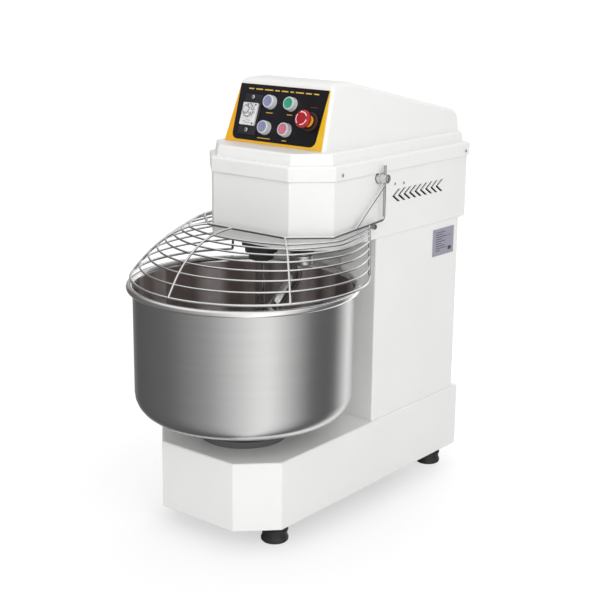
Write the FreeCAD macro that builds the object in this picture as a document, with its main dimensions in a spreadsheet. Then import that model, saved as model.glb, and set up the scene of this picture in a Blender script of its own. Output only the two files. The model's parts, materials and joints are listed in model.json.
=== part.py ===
"""Spiral dough mixer with a fixed head and bowl of about 50 litres, as an assembly of separate pieces.

Millimetres, +Z up. The origin is on the floor, at the middle of the machine's footprint. The operator
stands at -Y, the column and its rear cover are at +Y.
"""
import FreeCAD, Part
import math
import os
import Sketcher
from FreeCAD import Placement, Rotation, Vector

# Driving dimensions. Heights are above the floor; x and y are from the middle of the footprint.
SIZES = {
    "Axes seen from above": {
        "bowl_y": -177.5,
        "spiral_x": 78,
        "spiral_y": -79.5,
        "bar_x": -36,
        "bar_y": -79,
        "layshaft_x": -55,
        "layshaft_y": 115,
        "idler_x": 30,
        "idler_y": -8,
        "motor_y": 265,
    },
    "Housings": {
        "sheet": 3,
        "base_half_width": 175,
        "base_front": -328.5,
        "base_rear": 417.5,
        "base_chamfer": 73,
        "base_bottom": 46,
        "base_top": 197,
        "base_fold": 4,
        "base_plate_thickness": 8,
        "top_plate_thickness": 10,
        "foot_half_track": 130,
        "foot_front": -224.5,
        "foot_rear": 365,
        "foot_radius": 30,
        "column_half_width": 170,
        "column_front": 66.5,
        "column_rear": 398.5,
        "pocket_half_width": 74,
        "pocket_depth": 10,
        "pocket_half_height": 26,
        "head_half_width": 172,
        "head_front": -157.5,
        "head_rear": 422.5,
        "head_chamfer": 66.5,
        "head_bottom": 620,
        "head_top": 787,
        "head_plate_thickness": 10,
        "rear_cover_half_width": 130,
        "rear_cover_bottom": 222,
        "rear_cover_height": 376,
    },
    "Moulded head cover": {
        "rim_half_width": 177,
        "rim_front": -162.5,
        "rim_rear": 427.5,
        "rim_chamfer": 70,
        "rim_bottom": 765,
        "rim_top": 797,
        "plinth_inset": 12,
        "plinth_draft": 4,
        "plinth_top": 821,
        "step_edge_radius": 6,
        "cover_half_width": 140,
        "cover_lean": 6,
        "cover_flare": 1.6,
        "cover_top": 957,
        "cover_ridge_y": 28,
        "cover_rear_slope": 12.8,
        "cover_rear": 413,
        "cover_rear_lean": 5,
        "cover_wall": 3.5,
        "cover_edge_radius": 19,
        "cover_corner_radius": 9,
        "cover_screw_height": 776,
        "cover_screw_front": -69.9,
        "cover_screw_rear": 406.1,
    },
    "Vents": {
        "vent_count": 9,
        "vent_pitch": 21.5,
        "vent_apex_y": 118.1,
        "vent_height": 706,
        "vent_arm_length": 22,
        "vent_arm_rise": 14,
        "vent_stroke": 9.5,
    },
    "Control panel": {
        "panel_front": -87.8,
        "panel_bottom": 821.2,
        "panel_tilt": 19.6,
        "panel_length": 130.2,
        "panel_lower_half_width": 135,
        "panel_upper_half_width": 123.3,
        "panel_thickness": 2,
        "panel_opening_inset": 9,
        "barrel_radius": 11,
        "bezel_radius": 15.3,
        "bezel_height": 17,
        "lens_radius": 11,
        "lens_seat": 11,
        "lens_top": 18.5,
        "stop_x": 91.5,
        "stop_up": 59,
        "stop_base_radius": 21,
        "stop_collar_radius": 12.8,
        "mushroom_radius": 19,
        "mushroom_top": 38,
        "mushroom_height": 18,
        "timer_x": -75.5,
        "timer_up": 61,
        "timer_width": 41,
        "timer_height": 49,
        "timer_core_width": 37,
        "timer_core_height": 44,
        "knob_radius": 15.5,
        "knob_up": 69,
    },
    "Bowl and its spindle": {
        "bowl_radius": 236.4,
        "bowl_wall": 2.5,
        "bowl_bottom": 254,
        "bowl_top": 540,
        "bowl_corner": 50,
        "bowl_rim_radius": 250,
        "bowl_bead": 7,
        "spindle_radius": 25,
        "spindle_flange_radius": 90,
        "spindle_flange_thickness": 14,
        "bowl_bolt_circle": 60,
        "housing_radius": 60,
        "housing_flange_radius": 95,
        "housing_bolt_circle": 80,
    },
    "Spiral and breaker bar": {
        "spiral_rod": 14,
        "spiral_sweep": 78,
        "spiral_first_sweep": 56,
        "spiral_end_sweep": 45,
        "spiral_crank": 12,
        "spiral_start_angle": 219,
        "spiral_turn": 410,
        "spiral_helix_top": 490,
        "spiral_helix_bottom": 281,
        "hub_radius": 26,
        "hub_bottom": 575,
        "hub_top": 597,
        "spiral_spindle_radius": 22.5,
        "spiral_housing_radius": 56,
        "spiral_housing_flange": 68,
        "bar_radius": 15,
        "bar_bottom": 272,
        "bar_hub_upper_radius": 43,
        "bar_hub_middle_radius": 36,
        "bar_hub_lower_radius": 28,
        "bar_hub_upper_step": 600,
        "bar_hub_lower_step": 586,
        "bar_hub_bottom": 569,
        "bar_bolt_circle": 33,
        "bar_bolt_length": 31,
    },
    "Belt drive": {
        "bowl_pulley_radius": 130,
        "idler_small_radius": 24,
        "idler_large_radius": 104,
        "layshaft_lower_radius": 26,
        "layshaft_small_radius": 28,
        "spiral_pulley_radius": 62,
        "layshaft_large_radius": 105,
        "motor_pulley_radius": 34,
        "layshaft_radius": 17.5,
        "idler_shaft_radius": 15,
        "motor_shaft_radius": 14,
        "bowl_drive_height": 78,
        "idler_drive_height": 124,
        "spiral_drive_height": 668,
        "motor_drive_height": 706,
        "pulley_width": 34,
        "pulley_flange": 4,
        "belt_thickness": 4.5,
    },
    "Motor": {
        "motor_radius": 92,
        "motor_bottom": 352,
        "motor_flange_radius": 110,
        "motor_flange_thickness": 12,
        "motor_wall": 8,
    },
    "Safety guard": {
        "hoop_frame_wire": 3.25,
        "hoop_bottom_wire": 3,
        "hoop_wire": 2.15,
        "rib_wire": 2.5,
        "hoop_count": 9,
        "hoop_centre_y": -157.5,
        "hoop_bottom_radius": 256,
        "hoop_bottom": 552,
        "hoop_end_y": 5.5,
        "hoop_rib_angle": 30.8,
        "hoop_side_angle": 12,
        "hoop_frame_height": 651,
        "frame_front_y": -172.5,
        "frame_front_half_width": 108,
        "frame_side_y": -104.5,
        "frame_side_half_width": 184,
        "frame_rear_height": 665,
        "middle_rib_top": -0.36,
        "middle_rib_low": 0.03,
        "first_hoop_gap": 0.26,
        "dome_power": 2.15,
        "hanger_x": 188,
        "hanger_top": 783,
        "pivot_y": 65.5,
        "pivot_height": 754,
        "pivot_radius": 10,
        "pivot_end": 197,
        "stop_pin_y": 35.5,
        "stop_pin_height": 652.6,
        "stop_pin_radius": 6,
    },
    "Fasteners and their holes": {
        "bolt_radius": 4,
        "bolt_hole_radius": 4.1,
        "bolt_head_flats": 13,
        "bolt_head_height": 5.5,
        "screw_hole_radius": 2.6,
        "bowl_bolt_radius": 5,
        "bowl_bolt_hole_radius": 5.1,
        "shaft_hole_radius": 24,
        "pivot_hole_radius": 13.1,
    },
    "Fits": {
        "running_gap": 0.05,
        "seat_gap": 0.1,
        "guide_gap": 0.08,
    },
}

doc = FreeCAD.newDocument("spiral_dough_mixer")
sheet = doc.addObject("Spreadsheet::Sheet", "Sizes")
PIECES = []


class Size:
    """A dimension: its value, and the spreadsheet formula that a property is bound to."""

    def __init__(self, value, formula):
        self.value = float(value)
        self.formula = formula

    def joined(self, other, sign, value):
        return Size(value, f"({self.formula} {sign} {as_size(other).formula})")

    def __add__(self, other):
        return self.joined(other, "+", self.value + as_size(other).value)

    def __sub__(self, other):
        return self.joined(other, "-", self.value - as_size(other).value)

    def __mul__(self, other):
        return self.joined(other, "*", self.value * as_size(other).value)

    def __truediv__(self, other):
        return self.joined(other, "/", self.value / as_size(other).value)

    def __neg__(self):
        return Size(-self.value, f"(0 - {self.formula})")

    def __float__(self):
        return self.value


def as_size(number):
    return number if isinstance(number, Size) else Size(number, repr(float(number)))


def fill_sheet():
    row = 1
    for heading, group in SIZES.items():
        sheet.set(f"A{row}", heading)
        row += 1
        for alias, number in group.items():
            sheet.set(f"A{row}", alias)
            sheet.set(f"B{row}", str(number))
            sheet.setAlias(f"B{row}", alias)
            row += 1
    doc.recompute()


class Sheet:
    """Reads a cell by its alias: S.bowl_y is the Size of that cell."""

    def __getattr__(self, alias):
        return Size(getattr(sheet, alias), f"Sizes.{alias}")


S = Sheet()


# ---------------------------------------------------------------- building blocks

TURN = {
    "Z": Rotation(),
    "X": Rotation(Vector(0, 1, 0), 90),
    "-X": Rotation(Vector(0, 1, 0), -90),
    "Y": Rotation(Vector(1, 0, 0), -90),
}


def bind(thing, **sizes):
    for name, number in sizes.items():
        thing.setExpression(name, as_size(number).formula)
    return thing


def place(thing, position, turn="Z"):
    thing.Placement = Placement(Vector(*(float(c) for c in position)), TURN[turn])
    for letter, number in zip("xyz", position):
        thing.setExpression(f"Placement.Base.{letter}", as_size(number).formula)
    return thing


def unplaced(thing):
    """Frees a thing's position, for a piece that is placed in a tilted frame."""
    for letter in "xyz":
        thing.setExpression(f"Placement.Base.{letter}", None)
    return thing


def box(name, low, high):
    """A block between two corners."""
    lengths = [as_size(b) - a for a, b in zip(low, high)]
    thing = bind(doc.addObject("Part::Box", name), Length=lengths[0], Width=lengths[1], Height=lengths[2])
    return place(thing, low)


def cylinder(name, radius, height, position, turn="Z"):
    return place(bind(doc.addObject("Part::Cylinder", name), Radius=radius, Height=height), position, turn)


def fuse(name, shapes):
    thing = doc.addObject("Part::MultiFuse", name)
    thing.Shapes = list(shapes)
    return thing


def group(name, shapes):
    """Separate solids that share one node, such as identical screws."""
    thing = doc.addObject("Part::Compound", name)
    thing.Links = list(shapes)
    return thing


def cut(name, body, tools):
    thing = doc.addObject("Part::Cut", name)
    thing.Base = body
    tools = list(tools)
    thing.Tool = tools[0] if len(tools) == 1 else group(name + "_tools", tools)
    return thing


def solid_feature(name, shape):
    """A piece whose form is a sweep or a many-sided block, made from the sheet's values."""
    thing = doc.addObject("Part::Feature", name)
    thing.Shape = shape
    thing.Placement = Placement()
    return thing


def origin_plane(body, role):
    return next(plane for plane in body.Origin.OriginFeatures if plane.Role == role)


def polygon(body, name, plane, points):
    """A closed sketch whose corners are each held by two dimensions from the sketch's origin."""
    sketch = body.newObject("Sketcher::SketchObject", name)
    sketch.AttachmentSupport = (origin_plane(body, plane), [""])
    sketch.MapMode = "FlatFace"
    corners = [Vector(float(u), float(v), 0) for u, v in points]
    for start, end in zip(corners, corners[1:] + corners[:1]):
        sketch.addGeometry(Part.LineSegment(start, end), False)
    count = len(points)
    for index, pair in enumerate(points):
        sketch.addConstraint(Sketcher.Constraint("Coincident", index, 2, (index + 1) % count, 1))
        for kind, axis, number in (("DistanceX", -2, pair[0]), ("DistanceY", -1, pair[1])):
            if float(number) == 0:
                sketch.addConstraint(Sketcher.Constraint("PointOnObject", index, 1, axis))
                continue
            fixed = sketch.addConstraint(Sketcher.Constraint(kind, -1, 1, index, 1, float(number)))
            if isinstance(number, Size):
                sketch.setExpression(f"Constraints[{fixed}]", number.formula)
    return sketch


def prism(name, points, height, position=(0, 0, 0), plane="XY_Plane", centred=False):
    """An outline padded along its plane's normal."""
    body = doc.addObject("PartDesign::Body", name)
    pad = body.newObject("PartDesign::Pad", name + "_pad")
    pad.Profile = polygon(body, name + "_outline", plane, points)
    bind(pad, Length=height)
    pad.Midplane = centred
    body.Tip = pad
    return place(body, position)


def lathe(name, points, position=(0, 0, 0), turn="Z"):
    """A turned piece: a (radius, height) profile revolved about its own axis."""
    body = doc.addObject("PartDesign::Body", name)
    turned = body.newObject("PartDesign::Revolution", name + "_turned")
    sketch = polygon(body, name + "_profile", "XZ_Plane", points)
    turned.Profile = sketch
    turned.ReferenceAxis = (sketch, ["V_Axis"])
    turned.Angle = 360
    body.Tip = turned
    return place(body, position, turn)


def soften(body, radius, chosen):
    """Rounds the edges of a body that the test picks out."""
    doc.recompute()
    base = body.Tip
    edges = [f"Edge{i}" for i, edge in enumerate(base.Shape.Edges, 1) if chosen(edge)]
    rounding = body.newObject("PartDesign::Fillet", f"{body.Name}_fillet_{len(body.Group)}")
    rounding.Base = (base, edges)
    bind(rounding, Radius=radius)
    body.Tip = rounding
    return body


def is_vertical(edge):
    ends = [vertex.Point for vertex in edge.Vertexes]
    return len(ends) == 2 and math.hypot(ends[0].x - ends[1].x, ends[0].y - ends[1].y) < 0.01


def at_height(height):
    return lambda edge: all(abs(vertex.Point.z - float(height)) < 0.01 for vertex in edge.Vertexes)


def is_ring(radius, height):
    """Tells a full circle of a radius at a height."""
    length = 2 * math.pi * float(radius)
    return lambda edge: at_height(height)(edge) and abs(edge.Length - length) < 1


def hexagon(across_flats):
    corner = float(across_flats) / math.sqrt(3)
    angles = [math.radians(60 * step) for step in range(6)]
    return [(corner * math.cos(a), corner * math.sin(a)) for a in angles]


def bolt(name, length, position):
    """An upright hexagon bolt; the position is where the underside of its head rests."""
    x, y, z = position
    head = prism(name + "_head", hexagon(S.bolt_head_flats), S.bolt_head_height, position)
    shank = cylinder(name + "_shank", S.bolt_radius, length, (x, y, as_size(z) - length))
    return fuse(name, [head, shank])


def around(centre_x, centre_y, circle, count, first=0.0):
    """Points evenly spaced on a circle, as (x, y) sizes."""
    for step in range(count):
        angle = math.radians(first + 360 * step / count)
        yield (as_size(centre_x) + circle * math.cos(angle), as_size(centre_y) + circle * math.sin(angle))


def piece(label, thing):
    """Registers a finished sub-part under the name of its node."""
    thing.Label = label
    PIECES.append((label, thing))
    return thing


def pipe(path, radius):
    """A round rod swept along a wire, with flat ends."""
    first = path.OrderedEdges[0]
    start = first.valueAt(first.FirstParameter)
    tangent = first.tangentAt(first.FirstParameter)
    if first.Orientation == "Reversed":
        start = first.valueAt(first.LastParameter)
        tangent = first.tangentAt(first.LastParameter) * -1
    section = Part.Wire([Part.Circle(start, tangent, float(radius)).toShape()])
    return path.makePipeShell([section], True, False)


def bent_path(points, bend):
    """Straight runs joined by bends of one radius."""
    edges = []
    start = points[0]
    for before, corner, after in zip(points, points[1:], points[2:]):
        inward = (before - corner).normalize()
        outward = (after - corner).normalize()
        half = inward.getAngle(outward) / 2
        trim = bend / math.tan(half)
        middle = corner + (inward + outward).normalize() * (bend / math.sin(half) - bend)
        arc_start = corner + inward * trim
        arc_end = corner + outward * trim
        edges.append(Part.LineSegment(start, arc_start).toShape())
        edges.append(Part.Arc(arc_start, middle, arc_end).toShape())
        start = arc_end
    edges.append(Part.LineSegment(start, points[-1]).toShape())
    return Part.Wire(edges)


def smooth_path(points):
    """A curve through the points."""
    curve = Part.BSplineCurve()
    curve.interpolate(points)
    return Part.Wire([curve.toShape()])


def relaxed_path(points):
    """A curve that follows the points and rounds their corners, as bent wire does."""
    curve = Part.BSplineCurve()
    curve.buildFromPoles(points, False, 3)
    return Part.Wire([curve.toShape()])


# ---------------------------------------------------------------- housings

CHAMFER_INSET = 2 - math.sqrt(2)
BEAD_RISE = 2.5


def outline(half_width, front, rear, chamfer, inset=0):
    """A rectangle with its two front corners cut at 45 degrees, optionally moved inwards evenly."""
    wide = as_size(half_width) - inset
    near = as_size(front) + inset
    far = as_size(rear) - inset
    corner = as_size(chamfer) - as_size(inset) * CHAMFER_INSET
    flat = wide - corner
    back = near + corner
    return [(-flat, near), (flat, near), (wide, back), (wide, far), (-wide, far), (-wide, back)]


def base_outline(inset=0):
    return outline(S.base_half_width, S.base_front, S.base_rear, S.base_chamfer, inset)


def head_outline(inset=0):
    return outline(S.head_half_width, S.head_front, S.head_rear, S.head_chamfer, inset)


def make_base():
    height = S.base_top - S.base_bottom
    shell = prism("base_shell", base_outline(), height, (0, 0, S.base_bottom))
    soften(shell, S.base_fold, lambda e: is_vertical(e) or at_height(height)(e))
    hollow = prism("base_hollow", base_outline(S.sheet), height - S.sheet + 1, (0, 0, S.base_bottom - 1))
    top_holes = [
        cylinder("base_bowl_hole", S.housing_radius + 0.5, 20, (0, S.bowl_y, S.base_top - 10)),
        cylinder("base_shaft_hole", S.shaft_hole_radius, 20, (S.layshaft_x, S.layshaft_y, S.base_top - 10)),
        cylinder("base_cable_hole", 16, 20, (110, 330, S.base_top - 10)),
        cylinder("base_gland_hole", 8.2, 20, (-(S.base_half_width + 10), 330, 120), "X"),
    ]
    bolt_holes = [
        cylinder(f"base_bolt_hole_{i}", S.bolt_hole_radius, 20, (x, y, S.base_top - 10))
        for i, (x, y) in enumerate(housing_bolt_places())
    ]
    piece("base_housing", cut("base_housing", shell, [hollow] + top_holes + bolt_holes))

    plate = prism("base_plate_blank", base_outline(S.sheet + 0.5), S.base_plate_thickness,
                  (0, 0, S.base_bottom))
    stud_holes = [
        cylinder(f"stud_hole_{i}", 6.1, 20, (x, y, S.base_bottom - 5))
        for i, (x, y) in enumerate(feet_places())
    ]
    bottom_plate = cut("base_plate", plate, stud_holes)

    low = S.base_top - S.sheet - S.top_plate_thickness
    top_plate = box("top_plate_blank", (-150, -268, low), (150, 200, S.base_top - S.sheet))
    openings = [
        cylinder("top_plate_bowl_hole", S.housing_radius + 0.5, 20, (0, S.bowl_y, low - 5)),
        cylinder("top_plate_shaft_hole", S.shaft_hole_radius, 20, (S.layshaft_x, S.layshaft_y, low - 5)),
    ]
    openings += [
        cylinder(f"top_plate_bolt_hole_{i}", S.bolt_hole_radius, 20, (x, y, low - 5))
        for i, (x, y) in enumerate(housing_bolt_places())
    ]
    bearing_plate = cut("base_top_plate", top_plate, openings)

    post = 24
    floor = S.base_bottom + S.base_plate_thickness
    posts = [
        box(f"post_{x}_{y}", (x - post / 2, y - post / 2, floor), (x + post / 2, y + post / 2, low))
        for x in (-138, 138) for y in (-250, 180)
    ]
    piece("base_frame", fuse("base_frame", [bottom_plate, bearing_plate] + posts))


def housing_bolt_places():
    return list(around(0, S.bowl_y, float(S.housing_bolt_circle), 6))


def feet_places():
    return [(S.foot_half_track * side, y) for side in (-1, 1) for y in (S.foot_front, S.foot_rear)]


def make_feet():
    pads, studs = [], []
    for index, (x, y) in enumerate(feet_places()):
        profile = [(0, 0), (S.foot_radius - 2, 0), (S.foot_radius, 3), (S.foot_radius, 26),
                   (S.foot_radius - 5, 31), (12, 31), (12, 35), (6.2, 35), (6.2, 8), (0, 8)]
        pads.append(lathe(f"foot_pad_{index}", profile, (x, y, 0)))
        stud = cylinder(f"foot_stud_{index}", 6, 66, (x, y, 8.2))
        nuts = [
            prism(f"foot_nut_{index}_{level}", hexagon(19), 9.8, (x, y, level))
            for level in (S.base_bottom - 9.9, S.base_bottom + S.base_plate_thickness + 0.1)
        ]
        studs.append(fuse(f"foot_stud_set_{index}", [stud] + nuts))
    piece("levelling_feet", group("levelling_feet", pads))
    piece("foot_studs", group("foot_studs", studs))


def make_column():
    wide = S.column_half_width
    height = S.head_bottom - S.base_top
    front, rear = S.column_front, S.column_rear
    corners = [(-wide, front), (wide, front), (wide, rear), (-wide, rear)]
    shell = prism("column_shell", corners, height, (0, 0, S.base_top))
    soften(shell, S.base_fold, is_vertical)
    lip = 4
    hollow = box("column_hollow", (S.sheet - wide, S.column_front + S.sheet, S.base_top + lip),
                 (wide - S.sheet, S.column_rear - S.sheet, S.head_bottom - lip))
    well = box("column_well", (-140, S.column_front + lip, S.base_top - 1),
               (140, S.column_rear - 10, S.head_bottom + 1))
    pocket = rim_pocket("column_pocket", 0)
    space = fuse("column_space", [hollow, well])
    cavity = cut("column_cavity", space, [rim_pocket("pocket_wall", S.sheet)])
    door = S.rear_cover_half_width - 18
    opening = box("column_door", (-door, S.column_rear - 8, S.rear_cover_bottom + 18),
                  (door, S.column_rear + 1, S.rear_cover_bottom + S.rear_cover_height - 18))
    screw_holes = [
        cylinder(f"column_screw_hole_{i}", S.screw_hole_radius, 20, (x, S.column_rear - 10, z), "Y")
        for i, (x, z) in enumerate(rear_screw_places())
    ]
    rivet_holes = [
        cylinder(f"plate_rivet_hole_{i}", 1.6, 8, (S.column_half_width - 6, y, z), "X")
        for i, (y, z) in enumerate(plate_rivet_places())
    ]
    tools = [cavity, pocket, opening] + screw_holes + rivet_holes
    piece("column_housing", cut("column_housing", shell, tools))


def rim_pocket(name, wall):
    """The recess in the column's front that clears the bowl's rim, larger by the wall when one is given."""
    wide = S.pocket_half_width + wall
    middle = S.bowl_top - S.bowl_bead + BEAD_RISE
    tall = S.pocket_half_height + wall
    return box(name, (-wide, S.column_front - 1, middle - tall),
               (wide, S.column_front + S.pocket_depth + wall, middle + tall))


def rear_screw_places():
    wide = S.rear_cover_half_width - 9
    heights = (S.rear_cover_bottom + 10, S.rear_cover_bottom + S.rear_cover_height / 2,
               S.rear_cover_bottom + S.rear_cover_height - 10)
    return [(wide * side, height) for side in (-1, 1) for height in heights]


def make_rear_cover():
    plate = box("rear_cover_blank", (-S.rear_cover_half_width, S.column_rear + 0.1, S.rear_cover_bottom),
                (S.rear_cover_half_width, S.column_rear + 2.1, S.rear_cover_bottom + S.rear_cover_height))
    lowest = S.rear_cover_bottom + 70
    slots = [
        box(f"rear_slot_{row}_{side}", (side * 50 - 38, S.column_rear - 2, lowest + 16 * row),
            (side * 50 + 38, S.column_rear + 5, lowest + 16 * row + 6))
        for row in range(6) for side in (-1, 1)
    ]
    holes = [
        cylinder(f"rear_cover_hole_{i}", S.screw_hole_radius, 10, (x, S.column_rear - 4, z), "Y")
        for i, (x, z) in enumerate(rear_screw_places())
    ]
    piece("rear_cover", cut("rear_cover", plate, slots + holes))
    return [
        pan_screw(f"rear_screw_{i}", (x, S.column_rear + 2.2, z), "Y")
        for i, (x, z) in enumerate(rear_screw_places())
    ]


def pan_screw(name, position, turn, head=4.2, rise=1.4, shank=2.4, length=9):
    """A low round-headed screw; its position is where the head rests and its turn points outwards."""
    profile = [(0, -length), (shank, -length), (shank, 0), (head, 0), (head, rise * 0.4),
               (head * 0.7, rise), (0, rise)]
    return lathe(name, profile, position, turn)


def chevron(index):
    """One vent: an arrowhead that points forwards, as a tool that reaches across the whole head."""
    apex = S.vent_apex_y + S.vent_pitch * index
    tail = apex + S.vent_arm_length
    top = S.vent_height + S.vent_arm_rise
    low = S.vent_height - S.vent_arm_rise
    points = [(apex, S.vent_height), (tail, top), (tail + S.vent_stroke, top),
              (apex + S.vent_stroke, S.vent_height), (tail + S.vent_stroke, low), (tail, low)]
    return prism(f"vent_{index}", points, S.head_half_width * 2 + 20, plane="YZ_Plane", centred=True)


def bar_bolt_places():
    return list(around(S.bar_x, S.bar_y, float(S.bar_bolt_circle), 4, 22))


def make_head():
    height = S.head_top - S.head_bottom
    shell = prism("head_shell", head_outline(), height, (0, 0, S.head_bottom))
    soften(shell, S.base_fold, is_vertical)
    hollow = prism("head_hollow", head_outline(S.sheet), height, (0, 0, S.head_bottom + S.sheet))
    plate_low = S.head_bottom + S.sheet
    under = S.head_bottom - 1
    spiral_hole = S.spiral_housing_radius + 0.5
    floor_holes = [
        cylinder("head_spiral_hole", spiral_hole, 8, (S.spiral_x, S.spiral_y, under)),
        cylinder("head_motor_hole", S.motor_flange_radius + 5, 8, (0, S.motor_y, under)),
        cylinder("head_shaft_hole", S.shaft_hole_radius, 8, (S.layshaft_x, S.layshaft_y, under)),
    ]
    floor_holes += [
        cylinder(f"head_bar_bolt_hole_{i}", S.bolt_hole_radius, 8, (x, y, under))
        for i, (x, y) in enumerate(bar_bolt_places())
    ]
    across = S.head_half_width + 10
    side_holes = [
        cylinder("pivot_hole", S.pivot_hole_radius, across * 2,
                 (-across, S.pivot_y, S.pivot_height), "X"),
        cylinder("stop_pin_hole", S.bolt_hole_radius, across * 2,
                 (-across, S.stop_pin_y, S.stop_pin_height), "X"),
    ]
    side_holes += [
        cylinder(f"cover_screw_hole_{i}", S.screw_hole_radius, across * 2,
                 (-across, y, S.cover_screw_height), "X")
        for i, y in enumerate((S.cover_screw_front, S.cover_screw_rear))
    ]
    side_holes += [
        cylinder(f"side_screw_hole_{i}", S.screw_hole_radius, 12, (S.head_half_width - 8, y, z), "X")
        for i, (y, z) in enumerate(side_screw_places())
    ]
    vents = [chevron(index) for index in range(int(S.vent_count.value))]
    piece("head_housing", cut("head_housing", shell, [hollow] + floor_holes + side_holes + vents))

    blank = prism("head_plate_blank", outline(S.head_half_width - 6, S.head_front + 6, S.head_rear - 6,
                                              S.head_chamfer), S.head_plate_thickness, (0, 0, plate_low))
    openings = [
        cylinder("plate_spiral_hole", spiral_hole, 20, (S.spiral_x, S.spiral_y, plate_low - 1)),
        cylinder("plate_motor_hole", 60, 20, (0, S.motor_y, plate_low - 1)),
        cylinder("plate_shaft_hole", S.shaft_hole_radius, 20, (S.layshaft_x, S.layshaft_y, plate_low - 1)),
    ]
    openings += [
        cylinder(f"plate_bar_bolt_hole_{i}", S.bolt_hole_radius, 20, (x, y, plate_low - 1))
        for i, (x, y) in enumerate(bar_bolt_places())
    ]
    piece("head_plate", cut("head_plate", blank, openings))


def side_screw_places():
    return [(126.5, 733), (160.5, 731)]


def make_side_screws():
    screws = [
        pan_screw(f"side_screw_{i}", (S.head_half_width + 0.1, y, z), "X", head=3.4)
        for i, (y, z) in enumerate(side_screw_places())
    ]
    for side, turn in ((-1, "-X"), (1, "X")):
        for row, y in enumerate((S.cover_screw_front, S.cover_screw_rear)):
            position = ((S.rim_half_width + 0.1) * side, y, S.cover_screw_height)
            screws.append(pan_screw(f"cover_screw_{side}_{row}", position, turn, length=10))
    return screws


# ---------------------------------------------------------------- moulded cover and control panel

def half_space_block(planes, reach=1500):
    """The block that lies behind every plane, each given as a point and an outward normal."""
    block = Part.makeBox(2 * reach, 2 * reach, 2 * reach, Vector(-reach, -reach, -reach))
    for point, normal in planes:
        away = Part.makeBox(4 * reach, 4 * reach, 4 * reach, Vector(-2 * reach, -2 * reach, 0))
        away.Placement = Placement(point, Rotation(Vector(0, 0, 1), normal))
        block = block.cut(away)
    return block


def tilted(x, y, z):
    return Vector(x, y, z).normalize()


def cover_planes(inset):
    """The upper body: leaning sides that widen to the rear, slanted front, crowned top, sloping back."""
    lean = math.radians(float(S.cover_lean))
    flare = math.radians(float(S.cover_flare))
    tilt = math.radians(float(S.panel_tilt))
    slope = math.radians(float(S.cover_rear_slope))
    back = math.radians(float(S.cover_rear_lean))
    foot = Vector(float(S.cover_half_width), float(S.panel_front), float(S.panel_bottom))
    front = Vector(0, float(S.panel_front), float(S.panel_bottom))
    ridge = Vector(0, float(S.cover_ridge_y), float(S.cover_top))
    rear = Vector(0, float(S.cover_rear), float(S.plinth_top))
    planes = [
        (foot, tilted(math.cos(flare), -math.sin(flare), math.sin(lean))),
        (Vector(-foot.x, foot.y, foot.z), tilted(-math.cos(flare), -math.sin(flare), math.sin(lean))),
        (front, tilted(0, -math.cos(tilt), math.sin(tilt))),
        (ridge, tilted(0, 0, 1)),
        (ridge, tilted(0, math.sin(slope), math.cos(slope))),
        (rear, tilted(0, math.cos(back), math.sin(back))),
        (Vector(0, 0, float(S.rim_top) - 8), tilted(0, 0, -1)),
    ]
    return [(point - normal * inset, normal) for point, normal in planes]


def tapered_block(lower, upper, bottom, top):
    """A block lofted between two outlines of the same kind."""
    wires = []
    for points, height in ((lower, bottom), (upper, top)):
        corners = [Vector(float(u), float(v), float(height)) for u, v in points]
        wires.append(Part.makePolygon(corners + corners[:1]))
    return Part.makeLoft(wires, True, True)


def rim_outline(inset):
    return outline(S.rim_half_width, S.rim_front, S.rim_rear, S.rim_chamfer, inset)


def cover_blank(inset):
    """Rim, stepped plinth and rounded upper body as one block, every wall moved inwards by the inset."""
    step = S.plinth_inset + inset
    rim_top, plinth_top = float(S.rim_top) - inset, float(S.plinth_top) - inset
    rim_low = S.rim_bottom - (1 if inset else 0)
    rim = tapered_block(rim_outline(inset + 0.8), rim_outline(inset), rim_low, rim_top)
    plinth = tapered_block(rim_outline(step), rim_outline(step + S.plinth_draft), rim_top - 2, plinth_top)
    body = half_space_block(cover_planes(inset))
    body = round_edges(body, float(S.cover_edge_radius) - inset, lies_above(float(S.plinth_top) + 20))
    body = round_edges(body, float(S.cover_corner_radius) - inset, is_steep)
    edge_radius = float(S.step_edge_radius) - inset
    rim = round_edges(rim, edge_radius, reaches(rim_top - 1))
    plinth = round_edges(plinth, edge_radius, reaches(plinth_top - 1))
    return rim.fuse([plinth, body]).removeSplitter()


def round_edges(shape, radius, chosen):
    return shape.makeFillet(float(radius), [edge for edge in shape.Edges if chosen(edge)])


def lies_above(height):
    return lambda edge: min(vertex.Point.z for vertex in edge.Vertexes) > height


def reaches(height):
    return lambda edge: max(vertex.Point.z for vertex in edge.Vertexes) > height


def is_steep(edge):
    """Tells a long straight edge that climbs, such as a corner between two leaning walls."""
    climb = abs(edge.Vertexes[0].Point.z - edge.Vertexes[-1].Point.z)
    return edge.Length > 30 and edge.Curve.TypeId == "Part::GeomLine" and climb > 30


def make_cover():
    shell = cover_blank(0).cut(cover_blank(float(S.cover_wall)))
    inset = float(S.panel_opening_inset)
    length = float(S.panel_length)
    foot = float(S.panel_lower_half_width) - inset
    top = float(S.panel_upper_half_width) - inset
    corners = [(-foot, inset), (foot, inset), (top, length - inset), (-top, length - inset)]
    window = Part.Face(Part.makePolygon([Vector(u, v, -12) for u, v in corners + corners[:1]]))
    window = window.extrude(Vector(0, 0, 24))
    window.Placement = panel_frame()
    shell = shell.cut(window)
    across = float(S.rim_half_width) + 10
    for y in (float(S.cover_screw_front), float(S.cover_screw_rear)):
        start = Vector(-across, y, float(S.cover_screw_height))
        shell = shell.cut(Part.makeCylinder(float(S.screw_hole_radius), 2 * across, start, Vector(1, 0, 0)))
    piece("head_cover", solid_feature("head_cover", shell))


def panel_frame():
    """The panel's own frame: X across, Y up the slope, Z out of its face, from its lower middle."""
    return Placement(Vector(0, float(S.panel_front), float(S.panel_bottom)),
                     Rotation(Vector(1, 0, 0), 90 - float(S.panel_tilt)))


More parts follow.
